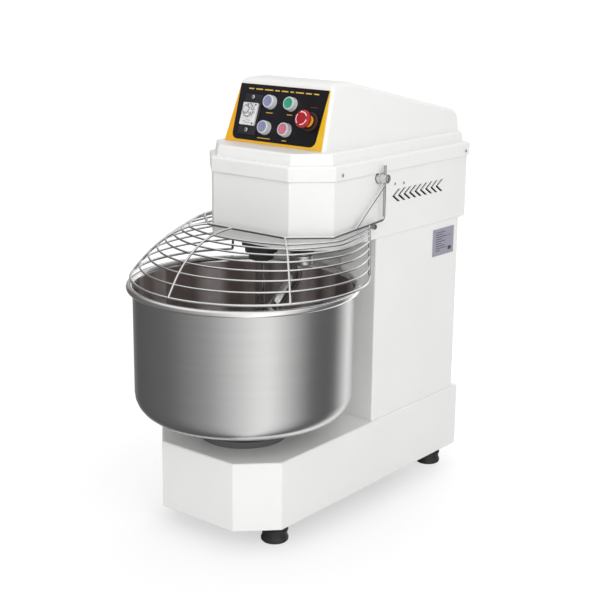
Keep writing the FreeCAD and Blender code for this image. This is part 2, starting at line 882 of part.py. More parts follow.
def on_panel(thing, across, up, lift=0.0):
    unplaced(thing)
    local = Placement(Vector(float(across), float(up), float(lift)), Rotation())
    thing.Placement = panel_frame() * local
    return thing


BUTTONS = {
    "light_button": (-25.5, 90),
    "green_start_button": (31, 90),
    "jog_button": (-25.5, 34),
    "red_stop_button": (31, 34),
}


def make_panel():
    low, high = S.panel_lower_half_width, S.panel_upper_half_width
    edge = 1
    corners = [(-low + edge, edge), (low - edge, edge), (high - edge, S.panel_length - edge),
               (-high + edge, S.panel_length - edge)]
    blank = on_panel(prism("panel_blank", corners, S.panel_thickness), 0, 0, 0.1)
    places = list(BUTTONS.values()) + [(S.stop_x, S.stop_up)]
    holes = [
        on_panel(cylinder(f"panel_hole_{i}", S.barrel_radius + 0.2, 10, (0, 0, 0)), u, v, -4)
        for i, (u, v) in enumerate(places)
    ]
    opening = centred_rectangle(S.timer_core_width + 1, S.timer_core_height + 1)
    holes.append(on_panel(prism("panel_timer_hole", opening, 10), S.timer_x, S.timer_up, -4))
    holes += [
        on_panel(cylinder(f"panel_timer_screw_hole_{up}", 1.9, 10, (0, 0, 0)), S.timer_x, up, -4)
        for up in timer_screw_heights()
    ]
    piece("control_panel", cut("control_panel", blank, holes))


def centred_rectangle(width, height):
    half_width, half_height = as_size(width) / 2, as_size(height) / 2
    return [(-half_width, -half_height), (half_width, -half_height), (half_width, half_height),
            (-half_width, half_height)]


def timer_screw_heights():
    return (27, 99)


def make_buttons():
    seat = S.panel_thickness + 0.2
    stem = 5
    bore = stem + S.guide_gap.value
    bezels, blocks = [], []
    for index, (label, (u, v)) in enumerate(BUTTONS.items()):
        profile = [(bore, -22), (S.barrel_radius, -22), (S.barrel_radius, seat), (S.bezel_radius, seat),
                   (S.bezel_radius, seat + 4), (S.bezel_radius - 1, S.bezel_height - 2),
                   (S.bezel_radius - 2.5, S.bezel_height), (S.lens_radius + 0.3, S.bezel_height),
                   (S.lens_radius + 0.3, seat + 4), (bore, seat + 4)]
        bezels.append(on_panel(lathe(f"bezel_{index}", profile), u, v))
        lens = [(0, -18), (stem, -18), (stem, S.lens_seat), (S.lens_radius, S.lens_seat),
                (S.lens_radius, S.lens_top - 1.5), (S.lens_radius - 2, S.lens_top - 0.3), (0, S.lens_top)]
        piece(label, on_panel(lathe(label, lens), u, v))
        blocks.append(on_panel(prism(f"contact_block_{index}", centred_rectangle(29, 29), 38), u, v, -62))
    blocks.append(on_panel(prism("stop_block", centred_rectangle(29, 29), 38), S.stop_x, S.stop_up, -62))
    piece("button_bezels", group("button_bezels", bezels))
    piece("contact_blocks", group("contact_blocks", blocks))


def ring(name, outer, inner, height, position=(0, 0, 0)):
    profile = [(inner, 0), (outer, 0), (outer, height), (inner, height)]
    return lathe(name, profile, position)


def make_emergency_stop():
    seat = S.panel_thickness + 0.2
    stem = 5
    bore = stem + S.guide_gap.value
    base = [(bore, -22), (S.barrel_radius, -22), (S.barrel_radius, seat), (S.stop_base_radius, seat),
            (S.stop_base_radius, seat + 5), (S.stop_base_radius - 4, seat + 9), (bore, seat + 9)]
    piece("stop_base", on_panel(lathe("stop_base", base), S.stop_x, S.stop_up))
    under = S.mushroom_top - S.mushroom_height
    collar = [(bore, seat + 9.1), (S.stop_collar_radius, seat + 9.1), (S.stop_collar_radius, under - 6),
              (S.stop_collar_radius - 1.5, under - 4.5), (bore, under - 4.5)]
    piece("stop_collar", on_panel(lathe("stop_collar", collar), S.stop_x, S.stop_up))
    top = S.mushroom_top - 8
    shaft = [(0, -18), (stem, -18), (stem, top), (0, top)]
    piece("stop_stem", on_panel(lathe("stop_stem", shaft), S.stop_x, S.stop_up))
    bore = stem + 0.05
    wide = S.mushroom_radius
    head = [(bore, under), (11, under), (12, under + 4), (wide - 1, under + 6), (wide, under + 8),
            (wide, under + 13), (wide - 1.5, under + 16), (wide - 6, S.mushroom_top - 0.4),
            (0, S.mushroom_top), (0, top + 0.1), (bore, top + 0.1)]
    piece("stop_mushroom", on_panel(lathe("stop_mushroom", head), S.stop_x, S.stop_up))


def make_timer():
    seat = S.panel_thickness + 0.2
    holder = on_panel(prism("timer_holder_blank", centred_rectangle(50, 88), 2.5),
                      S.timer_x, S.timer_up, seat)
    opening = centred_rectangle(S.timer_core_width + 1, S.timer_core_height + 1)
    openings = [on_panel(prism("timer_holder_hole", opening, 10), S.timer_x, S.timer_up, 0)]
    openings += [
        on_panel(cylinder(f"holder_screw_hole_{up}", 1.9, 10, (0, 0, 0)), S.timer_x, up, 0)
        for up in timer_screw_heights()
    ]
    piece("timer_holder", cut("timer_holder", holder, openings))
    face = on_panel(prism("timer_face_block", centred_rectangle(S.timer_width, S.timer_height), 6.5),
                    S.timer_x, S.timer_up, seat + 2.6)
    soften(face, 1.2, lambda e: max(v.Point.z for v in e.Vertexes) > 6.4)
    core_outline = centred_rectangle(S.timer_core_width, S.timer_core_height)
    core = on_panel(prism("timer_core", core_outline, 68), S.timer_x, S.timer_up, -60)
    bore = on_panel(cylinder("timer_bore", 3.05, 20, (0, 0, 0)), S.timer_x, S.knob_up, 0)
    piece("timer_body", cut("timer_body", fuse("timer_block", [face, core]), [bore]))
    top = 24
    profile = [(0, 1), (3, 1), (3, 12), (S.knob_radius, 12), (S.knob_radius, 15), (S.knob_radius - 4, 16.5),
               (S.knob_radius - 5.5, top - 1), (S.knob_radius - 6.5, top), (0, top)]
    piece("timer_knob", on_panel(lathe("timer_knob", profile), S.timer_x, S.knob_up))
    screws = []
    for up in timer_screw_heights():
        profile = [(0, -7), (1.8, -7), (1.8, 4.8), (3.6, 4.8), (3.6, 5.8), (2.4, 7), (0, 7)]
        screws.append(on_panel(lathe(f"timer_screw_{up}", profile), S.timer_x, up))
    return screws


def plate_rivet_places():
    return [(y, z) for y in (293.5, 374) for z in (543, 599)]


def make_rating_plate():
    face = S.column_half_width
    blank = box("rating_plate_blank", (face + 0.1, 289.5, 539), (face + 0.9, 378, 603))
    holes = [
        cylinder(f"rating_plate_hole_{i}", 1.6, 6, (face - 2, y, z), "X")
        for i, (y, z) in enumerate(plate_rivet_places())
    ]
    piece("rating_plate", cut("rating_plate", blank, holes))
    rivets = [
        pan_screw(f"plate_rivet_{i}", (face + 1, y, z), "X", head=2.4, rise=0.9, shank=1.4, length=5)
        for i, (y, z) in enumerate(plate_rivet_places())
    ]
    return rivets


# ---------------------------------------------------------------- bowl, spiral and breaker bar

def make_bowl():
    outer, wall = S.bowl_radius, S.bowl_wall
    deep = S.bowl_top - S.bowl_bottom
    profile = [(0, 0), (outer, 0), (outer, deep), (outer - wall, deep), (outer - wall, wall), (0, wall)]
    body = lathe("bowl_shell", profile, (0, S.bowl_y, S.bowl_bottom))
    soften(body, S.bowl_corner, is_ring(outer, 0))
    soften(body, S.bowl_corner - wall, is_ring(outer - wall, wall))
    bead = doc.addObject("Part::Torus", "bowl_bead_ring")
    bind(bead, Radius1=S.bowl_rim_radius - S.bowl_bead, Radius2=S.bowl_bead)
    place(bead, (0, S.bowl_y, S.bowl_top - S.bowl_bead + BEAD_RISE))
    shell = fuse("bowl_pressing", [body, bead])
    holes = [
        cylinder(f"bowl_hole_{i}", S.bowl_bolt_hole_radius, 20, (x, y, S.bowl_bottom - 5))
        for i, (x, y) in enumerate(around(0, S.bowl_y, float(S.bowl_bolt_circle), 6))
    ]
    piece("bowl", cut("bowl", shell, holes))

    flange_low = S.bowl_bottom - S.spindle_flange_thickness
    flange_profile = [(0, 64), (S.spindle_radius, 64), (S.spindle_radius, flange_low),
                      (S.spindle_flange_radius, flange_low), (S.spindle_flange_radius, S.bowl_bottom - 0.1),
                      (0, S.bowl_bottom - 0.1)]
    spindle = lathe("spindle_blank", flange_profile, (0, S.bowl_y, 0))
    bolt_holes = [
        cylinder(f"spindle_hole_{i}", S.bowl_bolt_hole_radius, 30, (x, y, flange_low - 1))
        for i, (x, y) in enumerate(around(0, S.bowl_y, float(S.bowl_bolt_circle), 6))
    ]
    piece("bowl_spindle", cut("bowl_spindle", spindle, bolt_holes))
    bolts = []
    for index, (x, y) in enumerate(around(0, S.bowl_y, float(S.bowl_bolt_circle), 6)):
        head = [(0, -15), (S.bowl_bolt_radius, -15), (S.bowl_bolt_radius, 0), (9, 0), (8.4, 2.5), (6, 4.6), (0, 5.2)]
        bolts.append(lathe(f"bowl_bolt_{index}", head, (x, y, S.bowl_bottom + S.bowl_wall + 0.1)))
    piece("bowl_bolts", group("bowl_bolts", bolts))


def make_bowl_bearing():
    flange_low = S.base_top + 0.1
    seat = 45.1
    profile = [(seat, 118), (S.housing_radius, 118), (S.housing_radius, flange_low),
               (S.housing_flange_radius, flange_low), (S.housing_flange_radius, flange_low + 14),
               (S.housing_radius + 6, flange_low + 14), (S.housing_radius + 1, flange_low + 18),
               (S.housing_radius - 2, 231), (seat, 231), (seat, 204.9),
               (38, 204.9), (38, 143.1), (seat, 143.1)]
    blank = lathe("bowl_housing_blank", profile, (0, S.bowl_y, 0))
    holes = [
        cylinder(f"housing_hole_{i}", S.bolt_hole_radius, 30, (x, y, flange_low - 5))
        for i, (x, y) in enumerate(housing_bolt_places())
    ]
    piece("bowl_bearing_housing", cut("bowl_bearing_housing", blank, holes))
    inner = S.spindle_radius + S.running_gap
    bearings = [bearing(f"bowl_bearing_{z}", inner, 45, 20, (0, S.bowl_y, z)) for z in (122, 205)]
    seal = ring("bowl_seal", 45, inner, 5, (0, S.bowl_y, 225.5))
    bolts = [
        bolt(f"housing_bolt_{i}", 40, (x, y, flange_low + 14.1))
        for i, (x, y) in enumerate(housing_bolt_places())
    ]
    return bearings, seal, bolts


def bearing(name, inner, outer, width, position):
    """A sealed ball bearing with its shallow seal recess on both faces."""
    low, high = as_size(inner) + 4, as_size(outer) - 4
    floor = as_size(width) - 1
    profile = [(inner, 0), (low, 0), (low, 1), (high, 1), (high, 0), (outer, 0), (outer, width),
               (high, width), (high, floor), (low, floor), (low, width), (inner, width)]
    return lathe(name, profile, position)


def make_spiral():
    axis = Vector(float(S.spiral_x), float(S.spiral_y), 0)
    start = float(S.spiral_start_angle)
    full, first, last = float(S.spiral_sweep), float(S.spiral_first_sweep), float(S.spiral_end_sweep)

    def at(angle, radius, height):
        turn = math.radians(angle)
        return axis + Vector(radius * math.cos(turn), radius * math.sin(turn), height)

    crank = float(S.spiral_crank)
    hub_low = float(S.hub_bottom)
    helix_top = float(S.spiral_helix_top)
    points = [at(start, crank, hub_low + 6), at(start, crank, hub_low - 14),
              at(start, crank + 3, hub_low - 33), at(start, crank + 18, hub_low - 56),
              at(start + 5, first - 12, helix_top + 8)]
    steps = 26
    for step in range(1, steps + 1):
        share = step / steps
        opening = math.sin(math.radians(90 * min(1, share / 0.25)))
        closing = max(0, (share - 0.8) / 0.2) ** 1.5
        radius = first + (full - first) * opening - (full - last) * closing
        height = helix_top - (helix_top - float(S.spiral_helix_bottom)) * share
        points.append(at(start + float(S.spiral_turn) * share, radius, height))
    rod = pipe(smooth_path(points), S.spiral_rod)
    tip = Part.makeSphere(float(S.spiral_rod), points[-1])
    hub = Part.makeCylinder(float(S.hub_radius), float(S.hub_top) - hub_low, axis + Vector(0, 0, hub_low))
    hub = round_edges(hub, 2, lambda e: len(e.Vertexes) == 1)
    socket = Part.makeCylinder(14.1, 30, axis + Vector(0, 0, hub_low + 2))
    piece("spiral_hook", solid_feature("spiral_hook", hub.fuse([rod, tip]).cut(socket)))

    low = S.hub_top + 0.2
    profile = [(0, S.hub_bottom + 2.2), (14, S.hub_bottom + 2.2), (14, low), (S.spiral_spindle_radius, low),
               (S.spiral_spindle_radius, 706), (0, 706)]
    piece("spiral_spindle", lathe("spiral_spindle", profile, (S.spiral_x, S.spiral_y, 0)))
    place_xy = (S.spiral_x, S.spiral_y, 0)
    seat = 42.6
    wide, flange = S.spiral_housing_radius, S.spiral_housing_flange
    housing = [(38, 620.1), (wide, 620.1), (wide, 633.1), (flange, 633.1), (flange, 645), (wide, 648),
               (wide, 666), (seat, 666), (seat, 623), (38, 623)]
    piece("spiral_bearing_housing", lathe("spiral_bearing_housing", housing, place_xy))
    inner = S.spiral_spindle_radius + S.running_gap
    bearings = [
        bearing(f"spiral_bearing_{z}", inner, 42.5, 19, (S.spiral_x, S.spiral_y, z)) for z in (623.1, 645)
    ]
    seal = [(inner, 603), (27, 603), (28, 605), (28, 620), (37.9, 620), (37.9, 622.9), (inner, 622.9)]
    return bearings, lathe("spiral_seal", seal, place_xy)


def make_breaker_bar():
    """The fixed bar and its stepped hub; returns the bolts, which come from inside the head."""
    top = S.head_bottom - 0.1
    radius = float(S.bar_radius)
    end = [(radius * math.sin(math.radians(a)), S.bar_bottom + radius * (1 - math.cos(math.radians(a))))
           for a in (30, 60)]
    profile = [(0, S.bar_bottom)] + end
    profile += [(S.bar_radius, S.bar_bottom + S.bar_radius), (S.bar_radius, top), (0, top)]
    piece("breaker_bar", lathe("breaker_bar", profile, (S.bar_x, S.bar_y, 0)))
    inner = S.bar_radius + S.seat_gap
    upper, middle, lower = S.bar_hub_upper_radius, S.bar_hub_middle_radius, S.bar_hub_lower_radius
    hub = [(inner, S.bar_hub_bottom), (lower - 2, S.bar_hub_bottom), (lower, S.bar_hub_bottom + 2),
           (lower, S.bar_hub_lower_step), (middle, S.bar_hub_lower_step), (middle, S.bar_hub_upper_step),
           (upper - 1, S.bar_hub_upper_step), (upper, S.bar_hub_upper_step + 1), (upper, top), (inner, top)]
    blank = lathe("bar_hub_blank", hub, (S.bar_x, S.bar_y, 0))
    seat = S.head_bottom + S.sheet + S.head_plate_thickness + 0.1
    threads = [
        cylinder(f"bar_hub_thread_{i}", S.bolt_hole_radius, 30, (x, y, seat - S.bar_bolt_length - 0.5))
        for i, (x, y) in enumerate(bar_bolt_places())
    ]
    piece("breaker_bar_flange", cut("breaker_bar_flange", blank, threads))
    return [
        bolt(f"bar_bolt_{i}", S.bar_bolt_length, (x, y, seat))
        for i, (x, y) in enumerate(bar_bolt_places())
    ]


# ---------------------------------------------------------------- belt drive and motor

def pulley(name, rim, bore, bottom, position):
    """A flanged pulley: solid when small, with a thin web between hub and rim when large."""
    width, flange = S.pulley_width, S.pulley_flange
    rim, bore = as_size(rim), as_size(bore) + S.running_gap
    lip = 3
    outside = [(rim + flange, bottom), (rim + flange, bottom + lip), (rim, bottom + lip + 1),
               (rim, bottom + width - lip - 1), (rim + flange, bottom + width - lip),
               (rim + flange, bottom + width)]
    if float(rim) < 60:
        profile = [(bore, bottom)] + outside + [(bore, bottom + width)]
    else:
        hub, wall, web = bore + 18, rim - 12, 10
        top_web, low_web = bottom + (width + web) / 2, bottom + (width - web) / 2
        profile = [(bore, bottom), (hub, bottom), (hub, low_web), (wall, low_web), (wall, bottom)] + outside
        profile += [(wall, bottom + width), (wall, top_web), (hub, top_web), (hub, bottom + width),
                    (bore, bottom + width)]
    return lathe(name, profile, (position[0], position[1], 0))


def belt(name, first, first_radius, second, second_radius, bottom):
    """A belt round two pulleys: two straight runs and two arcs, with a little play on the pulleys."""
    play = 0.15
    margin = 5.5
    height = float(bottom) + margin
    a, b = (Vector(float(x), float(y), height) for x, y in (first, second))

    def loop(extra):
        r1, r2 = float(first_radius) + extra, float(second_radius) + extra
        along = (b - a).normalize()
        across = Vector(-along.y, along.x, 0)
        sine = (r1 - r2) / a.distanceToPoint(b)
        cosine = math.sqrt(1 - sine * sine)
        left = along * sine + across * cosine
        right = along * sine - across * cosine
        edges = [
            Part.LineSegment(a + left * r1, b + left * r2).toShape(),
            Part.Arc(b + left * r2, b + along * r2, b + right * r2).toShape(),
            Part.LineSegment(b + right * r2, a + right * r1).toShape(),
            Part.Arc(a + right * r1, a - along * r1, a + left * r1).toShape(),
        ]
        return Part.Wire(edges)

    width = Vector(0, 0, float(S.pulley_width) - 2 * margin)
    outer = Part.Face(loop(play + float(S.belt_thickness))).extrude(width)
    inner = Part.Face(loop(play)).extrude(width)
    return solid_feature(name, outer.cut(inner))


def flange_bearing(name, inner, flange_low, position, upwards=True):
    """A two-bolt flanged bearing unit, its flange against the plate it is bolted to."""
    inner = as_size(inner) + S.running_gap
    base, tall = (0, 22) if upwards else (22, 0)
    sign = 1 if upwards else -1
    profile = [(inner, base), (42, base), (42, base + 9 * sign), (30, base + 12 * sign), (28, tall),
               (inner, tall)]
    return lathe(name, profile, (position[0], position[1], flange_low))


def make_drive():
    bowl, spiral = (0, S.bowl_y), (S.spiral_x, S.spiral_y)
    lay, idler, motor = (S.layshaft_x, S.layshaft_y), (S.idler_x, S.idler_y), (0, S.motor_y)
    low, second = S.bowl_drive_height, S.idler_drive_height
    third, fourth = S.spiral_drive_height, S.motor_drive_height
    piece("bowl_pulley", pulley("bowl_pulley", S.bowl_pulley_radius, S.spindle_radius, low, bowl))
    wheel, bore = S.spiral_pulley_radius, S.spiral_spindle_radius
    piece("spiral_pulley", pulley("spiral_pulley", wheel, bore, third, spiral))
    piece("motor_pulley", pulley("motor_pulley", S.motor_pulley_radius, S.motor_shaft_radius, fourth, motor))
    piece("idler_pulleys", group("idler_pulleys", [
        pulley("idler_small_pulley", S.idler_small_radius, S.idler_shaft_radius, low, idler),
        pulley("idler_large_pulley", S.idler_large_radius, S.idler_shaft_radius, second, idler),
    ]))
    piece("layshaft_pulleys", group("layshaft_pulleys", [
        pulley("layshaft_lower_pulley", S.layshaft_lower_radius, S.layshaft_radius, second, lay),
        pulley("layshaft_small_pulley", S.layshaft_small_radius, S.layshaft_radius, third, lay),
        pulley("layshaft_large_pulley", S.layshaft_large_radius, S.layshaft_radius, fourth, lay),
    ]))
    piece("drive_belts", group("drive_belts", [
        belt("bowl_belt", idler, S.idler_small_radius, bowl, S.bowl_pulley_radius, low),
        belt("idler_belt", lay, S.layshaft_lower_radius, idler, S.idler_large_radius, second),
        belt("spiral_belt", lay, S.layshaft_small_radius, spiral, S.spiral_pulley_radius, third),
        belt("motor_belt", motor, S.motor_pulley_radius, lay, S.layshaft_large_radius, fourth),
    ]))
    piece("layshaft", cylinder("layshaft", S.layshaft_radius, 628, lay + (120,)))
    piece("idler_shaft", cylinder("idler_shaft", S.idler_shaft_radius, 125, idler + (57,)))
    floor = S.base_bottom + S.base_plate_thickness
    under = S.base_top - S.sheet - S.top_plate_thickness - 22
    units = [
        flange_bearing("idler_lower_unit", S.idler_shaft_radius, floor, idler),
        flange_bearing("idler_upper_unit", S.idler_shaft_radius, under, idler, upwards=False),
        flange_bearing("layshaft_lower_unit", S.layshaft_radius, S.base_top + 0.1, lay),
        flange_bearing("layshaft_upper_unit", S.layshaft_radius,
                       S.head_bottom + S.sheet + S.head_plate_thickness, lay),
    ]
    piece("flange_bearings", group("flange_bearings", units))


def make_motor():
    centre = (0, S.motor_y, 0)
    outer, wall = S.motor_radius, S.motor_wall
    low, top = S.motor_bottom, S.head_bottom + S.sheet - 0.1
    flange_low = top - S.motor_flange_thickness
    seat = 31.1
    shield = 12
    inside, floor, ceiling = outer - wall, low + shield + 6, flange_low - 6
    housing = [(seat, low), (outer, low), (outer, flange_low), (S.motor_flange_radius, flange_low),
               (S.motor_flange_radius, top), (seat, top), (seat, ceiling), (inside, ceiling),
               (inside, floor), (seat, floor)]
    body = lathe("motor_body", housing, centre)
    fins = []
    for step in range(24):
        angle = 15 * step
        if 60 < angle < 120:
            continue
        fin = bind(doc.addObject("Part::Box", f"motor_fin_{step}"), Length=10, Width=3, Height=200)
        turned = Placement(Vector(0, S.motor_y.value, 372), Rotation(Vector(0, 0, 1), angle))
        fin.Placement = turned * Placement(Vector(outer.value - 2, -1.5, 0), Rotation())
        fins.append(fin)
    piece("motor_housing", fuse("motor_housing", [body] + fins))
    shaft = S.motor_shaft_radius
    rotor = [(0, 318), (shaft, 318), (shaft, 405), (51.4, 405), (51.4, 565), (shaft, 565),
             (shaft, 746), (0, 746)]
    piece("motor_rotor", lathe("motor_rotor", rotor, centre))
    inner = shaft + S.running_gap
    bearings = [bearing(f"motor_bearing_{z}", inner, 31, 16, (0, S.motor_y, z)) for z in (353, 606)]
    cowl = [(20, 304), (outer - 6, 304), (outer, 310), (outer, low - 0.2), (outer - 2, low - 0.2),
            (outer - 2, 311), (outer - 7, 306), (20, 306)]
    piece("motor_fan_cowl", lathe("motor_fan_cowl", cowl, centre))
    return bearings


def make_electrics():
    inside = -(S.column_half_width - S.sheet)
    piece("inverter", box("inverter", (inside + 0.2, 190, 330), (inside + 58, 330, 530)))
    rail_low = S.head_bottom + S.sheet + S.head_plate_thickness
    plate = box("electrics_plate", (-150, 404, rail_low), (150, 406, rail_low + 122))
    rail = box("din_rail", (-140, 396.5, rail_low + 50), (140, 404, rail_low + 85))
    piece("electrics_panel", fuse("electrics_panel", [plate, rail]))
    devices = [
        box(f"contactor_{step}", (-130 + 52 * step, 326, rail_low + 27),
            (-86 + 52 * step, 396.3, rail_low + 108))
        for step in range(3)
    ]
    devices.append(box("terminal_strip", (40, 346, rail_low + 42), (136, 396.3, rail_low + 93)))
    piece("contactors", group("contactors", devices))
    side = -(S.base_half_width)
    gland = lathe("gland_body", [(5.2, -12), (8, -12), (8, 0), (12, 0), (12, 7), (10, 9), (10, 16), (7, 20),
                                 (5.2, 20)], (side - 0.1, 330, 120), "-X")
    piece("cable_gland", gland)
    x = float(side)
    path = bent_path([Vector(x + 60, 330, 120), Vector(x - 42, 330, 120), Vector(x - 42, 330, 22)], 22)
    piece("power_cord", solid_feature("power_cord", pipe(path, 5)))


# ---------------------------------------------------------------- safety guard

def frame_point(share):
    """A point on the guard's top frame; 0 is the front middle, 1, 2 and 3 the ends of its three runs."""
    height = float(S.hoop_frame_height)
    corners = [
        Vector(0, float(S.frame_front_y), height),
        Vector(float(S.frame_front_half_width), float(S.frame_front_y), height),
        Vector(float(S.frame_side_half_width), float(S.frame_side_y), height + 1),
        side_bar_point(12.5),
    ]
    run = min(int(share), 2)
    return corners[run] + (corners[run + 1] - corners[run]) * (share - run)


def side_bar_point(y):
    start = Vector(float(S.frame_side_half_width), float(S.frame_side_y), float(S.hoop_frame_height) + 1)
    end = Vector(float(S.hanger_x), float(S.pivot_y), float(S.frame_rear_height))
    return start + (end - start) * ((y - start.y) / (end.y - start.y))


def bottom_point(share):
    """The point of the lowest hoop that the same share of the frame is joined to."""
    rise = float(S.hoop_end_y) - float(S.hoop_centre_y)
    end = math.degrees(math.asin(rise / float(S.hoop_bottom_radius)))
    angles = [-90, -float(S.hoop_rib_angle), float(S.hoop_side_angle), end]
    run = min(int(share), 2)
    angle = math.radians(angles[run] + (angles[run + 1] - angles[run]) * (share - run))
    radius = float(S.hoop_bottom_radius)
    return Vector(radius * math.cos(angle), float(S.hoop_centre_y) + radius * math.sin(angle),
                  float(S.hoop_bottom))


def dome_point(share, depth):
    """A point on the guard's domed surface: depth 0 is the top frame and 1 the lowest hoop."""
    top, low = frame_point(share), bottom_point(share)
    point = top + (low - top) * depth
    point.z = top.z + (low.z - top.z) * depth ** float(S.dome_power)
    return point


def mirrored(point):
    return Vector(-point.x, point.y, point.z)


def hoop_path(depth):
    samples = [dome_point(3 * step / 15, depth) for step in range(15, 0, -1)]
    return relaxed_path(samples + [dome_point(0, depth)] + [mirrored(p) for p in reversed(samples)])


def rib_path(top, low):
    """A rib from one share of the top frame to another share of the lowest hoop."""
    depths = [step / 8 for step in range(9)]
    return relaxed_path([dome_point(top + (low - top) * depth, depth) for depth in depths])


def make_guard():
    side = [
        Vector(float(S.hanger_x), float(S.pivot_y), float(S.hanger_top)),
        Vector(float(S.hanger_x), float(S.pivot_y), float(S.frame_rear_height)),
        frame_point(2),
        frame_point(1),
    ]
    rods = [pipe(bent_path(side + [mirrored(p) for p in reversed(side)], 9), S.hoop_frame_wire)]
    hoops = int(S.hoop_count.value) - 1
    for index in range(hoops):
        depth = float(S.first_hoop_gap) + (1 - float(S.first_hoop_gap)) * index / (hoops - 1)
        wire = S.hoop_bottom_wire if index == hoops - 1 else S.hoop_wire
        rods.append(pipe(hoop_path(depth), wire))
    rods.append(pipe(rib_path(float(S.middle_rib_top), float(S.middle_rib_low)), S.rib_wire))
    strut_top = Vector(float(S.hanger_x), float(S.pivot_y), float(S.pivot_height) - 14)
    strut = pipe(Part.Wire([Part.LineSegment(strut_top, side_bar_point(-33.5)).toShape()]), S.rib_wire)
    for rod in [pipe(rib_path(1, 1), S.rib_wire), pipe(rib_path(3, 3), S.hoop_frame_wire - 0.3), strut]:
        rods += [rod, rod.mirror(Vector(0, 0, 0), Vector(1, 0, 0))]
    guard = rods[0].fuse(rods[1:])
    piece("safety_guard", solid_feature("safety_guard", guard))

    pins, bushes, stops = [], [], []
    for side_sign, turn in ((-1, "-X"), (1, "X")):
        start = as_size(150) * side_sign
        length = S.pivot_end - 150
        profile = [(0, 0), (S.pivot_radius, 0), (S.pivot_radius, length - 1.5),
                   (S.pivot_radius - 1.5, length), (0, length)]
        pin = lathe(f"pivot_pin_blank_{turn}", profile, (start, S.pivot_y, S.pivot_height), turn)
        rod_hole = cylinder(f"pivot_rod_hole_{turn}", S.hoop_frame_wire + 0.05, 60,
                            (S.hanger_x * side_sign, S.pivot_y, S.pivot_height - 30))
        pins.append(cut(f"pivot_pin_{turn}", pin, [rod_hole]))
        inner = S.pivot_radius + S.running_gap
        bush = [(inner, 0), (16, 0), (16, 2.5), (13, 2.5), (13, 5.6), (inner, 5.6)]
        seat = (S.head_half_width - S.sheet - 2.6) * side_sign
        bushes.append(lathe(f"pivot_bush_{turn}", bush, (seat, S.pivot_y, S.pivot_height), turn))
        stop = [(0, -14), (4, -14), (4, 0), (S.stop_pin_radius, 0), (S.stop_pin_radius, 17), (0, 17)]
        stops.append(lathe(f"stop_pin_{turn}", stop, ((S.head_half_width + 0.1) * side_sign, S.stop_pin_y,
                                                      S.stop_pin_height), turn))
    piece("guard_pivot_pins", group("guard_pivot_pins", pins))
    piece("guard_bushes", group("guard_bushes", bushes))
    piece("guard_stop_pins", group("guard_stop_pins", stops))

    cam_x, cam_width = 141.9, 8
    disc = cylinder("cam_disc", 16, cam_width, (cam_x, S.pivot_y, S.pivot_height), "X")
    lobe = box("cam_lobe", (cam_x, S.pivot_y - 6, S.pivot_height - 24),
               (cam_x + cam_width, S.pivot_y + 6, S.pivot_height))
    piece("guard_cam", fuse("guard_cam", [disc, lobe]))
    piece("guard_switch", box("guard_switch", (136, S.pivot_y - 15, S.pivot_height - 84),
                              (156, S.pivot_y + 15, S.pivot_height - 25)))


# ---------------------------------------------------------------- assembly and output

def check_document():
    doc.recompute()
    for thing in doc.Objects:
        if "Invalid" in thing.State or "Error" in thing.State:
            raise RuntimeError(f"{thing.Name} failed: {thing.State}")
    for label, thing in PIECES:
        if thing.Shape.isNull() or not thing.Shape.isValid():
            raise RuntimeError(f"{label} has no valid shape")


def write_parts():
    os.makedirs("parts", exist_ok=True)
    for label, thing in PIECES:
        thing.Shape.exportStep(f"parts/{label}.step")


fill_sheet()
make_base()
make_feet()
make_column()
make_head()
make_cover()
make_panel()
make_buttons()
make_emergency_stop()
make_bowl()
make_drive()
make_electrics()
make_guard()
bowl_bearings, bowl_seal, housing_bolts = make_bowl_bearing()
spiral_bearings, spiral_seal = make_spiral()
piece("ball_bearings", group("ball_bearings", bowl_bearings + spiral_bearings + make_motor()))
piece("shaft_seals", group("shaft_seals", [bowl_seal, spiral_seal]))
piece("hex_bolts", group("hex_bolts", housing_bolts + make_breaker_bar()))
small_screws = make_rear_cover() + make_side_screws() + make_timer() + make_rating_plate()
piece("screws", group("screws", small_screws))
check_document()
write_parts()
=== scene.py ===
"""The looks of a floor-standing spiral dough mixer: finishes, small hardware and soft studio light.

Metres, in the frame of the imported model: +Z up, the operator at -Y, the column at +Y.
"""
import json
import math

import bmesh
import bpy
from mathutils import Matrix, Vector


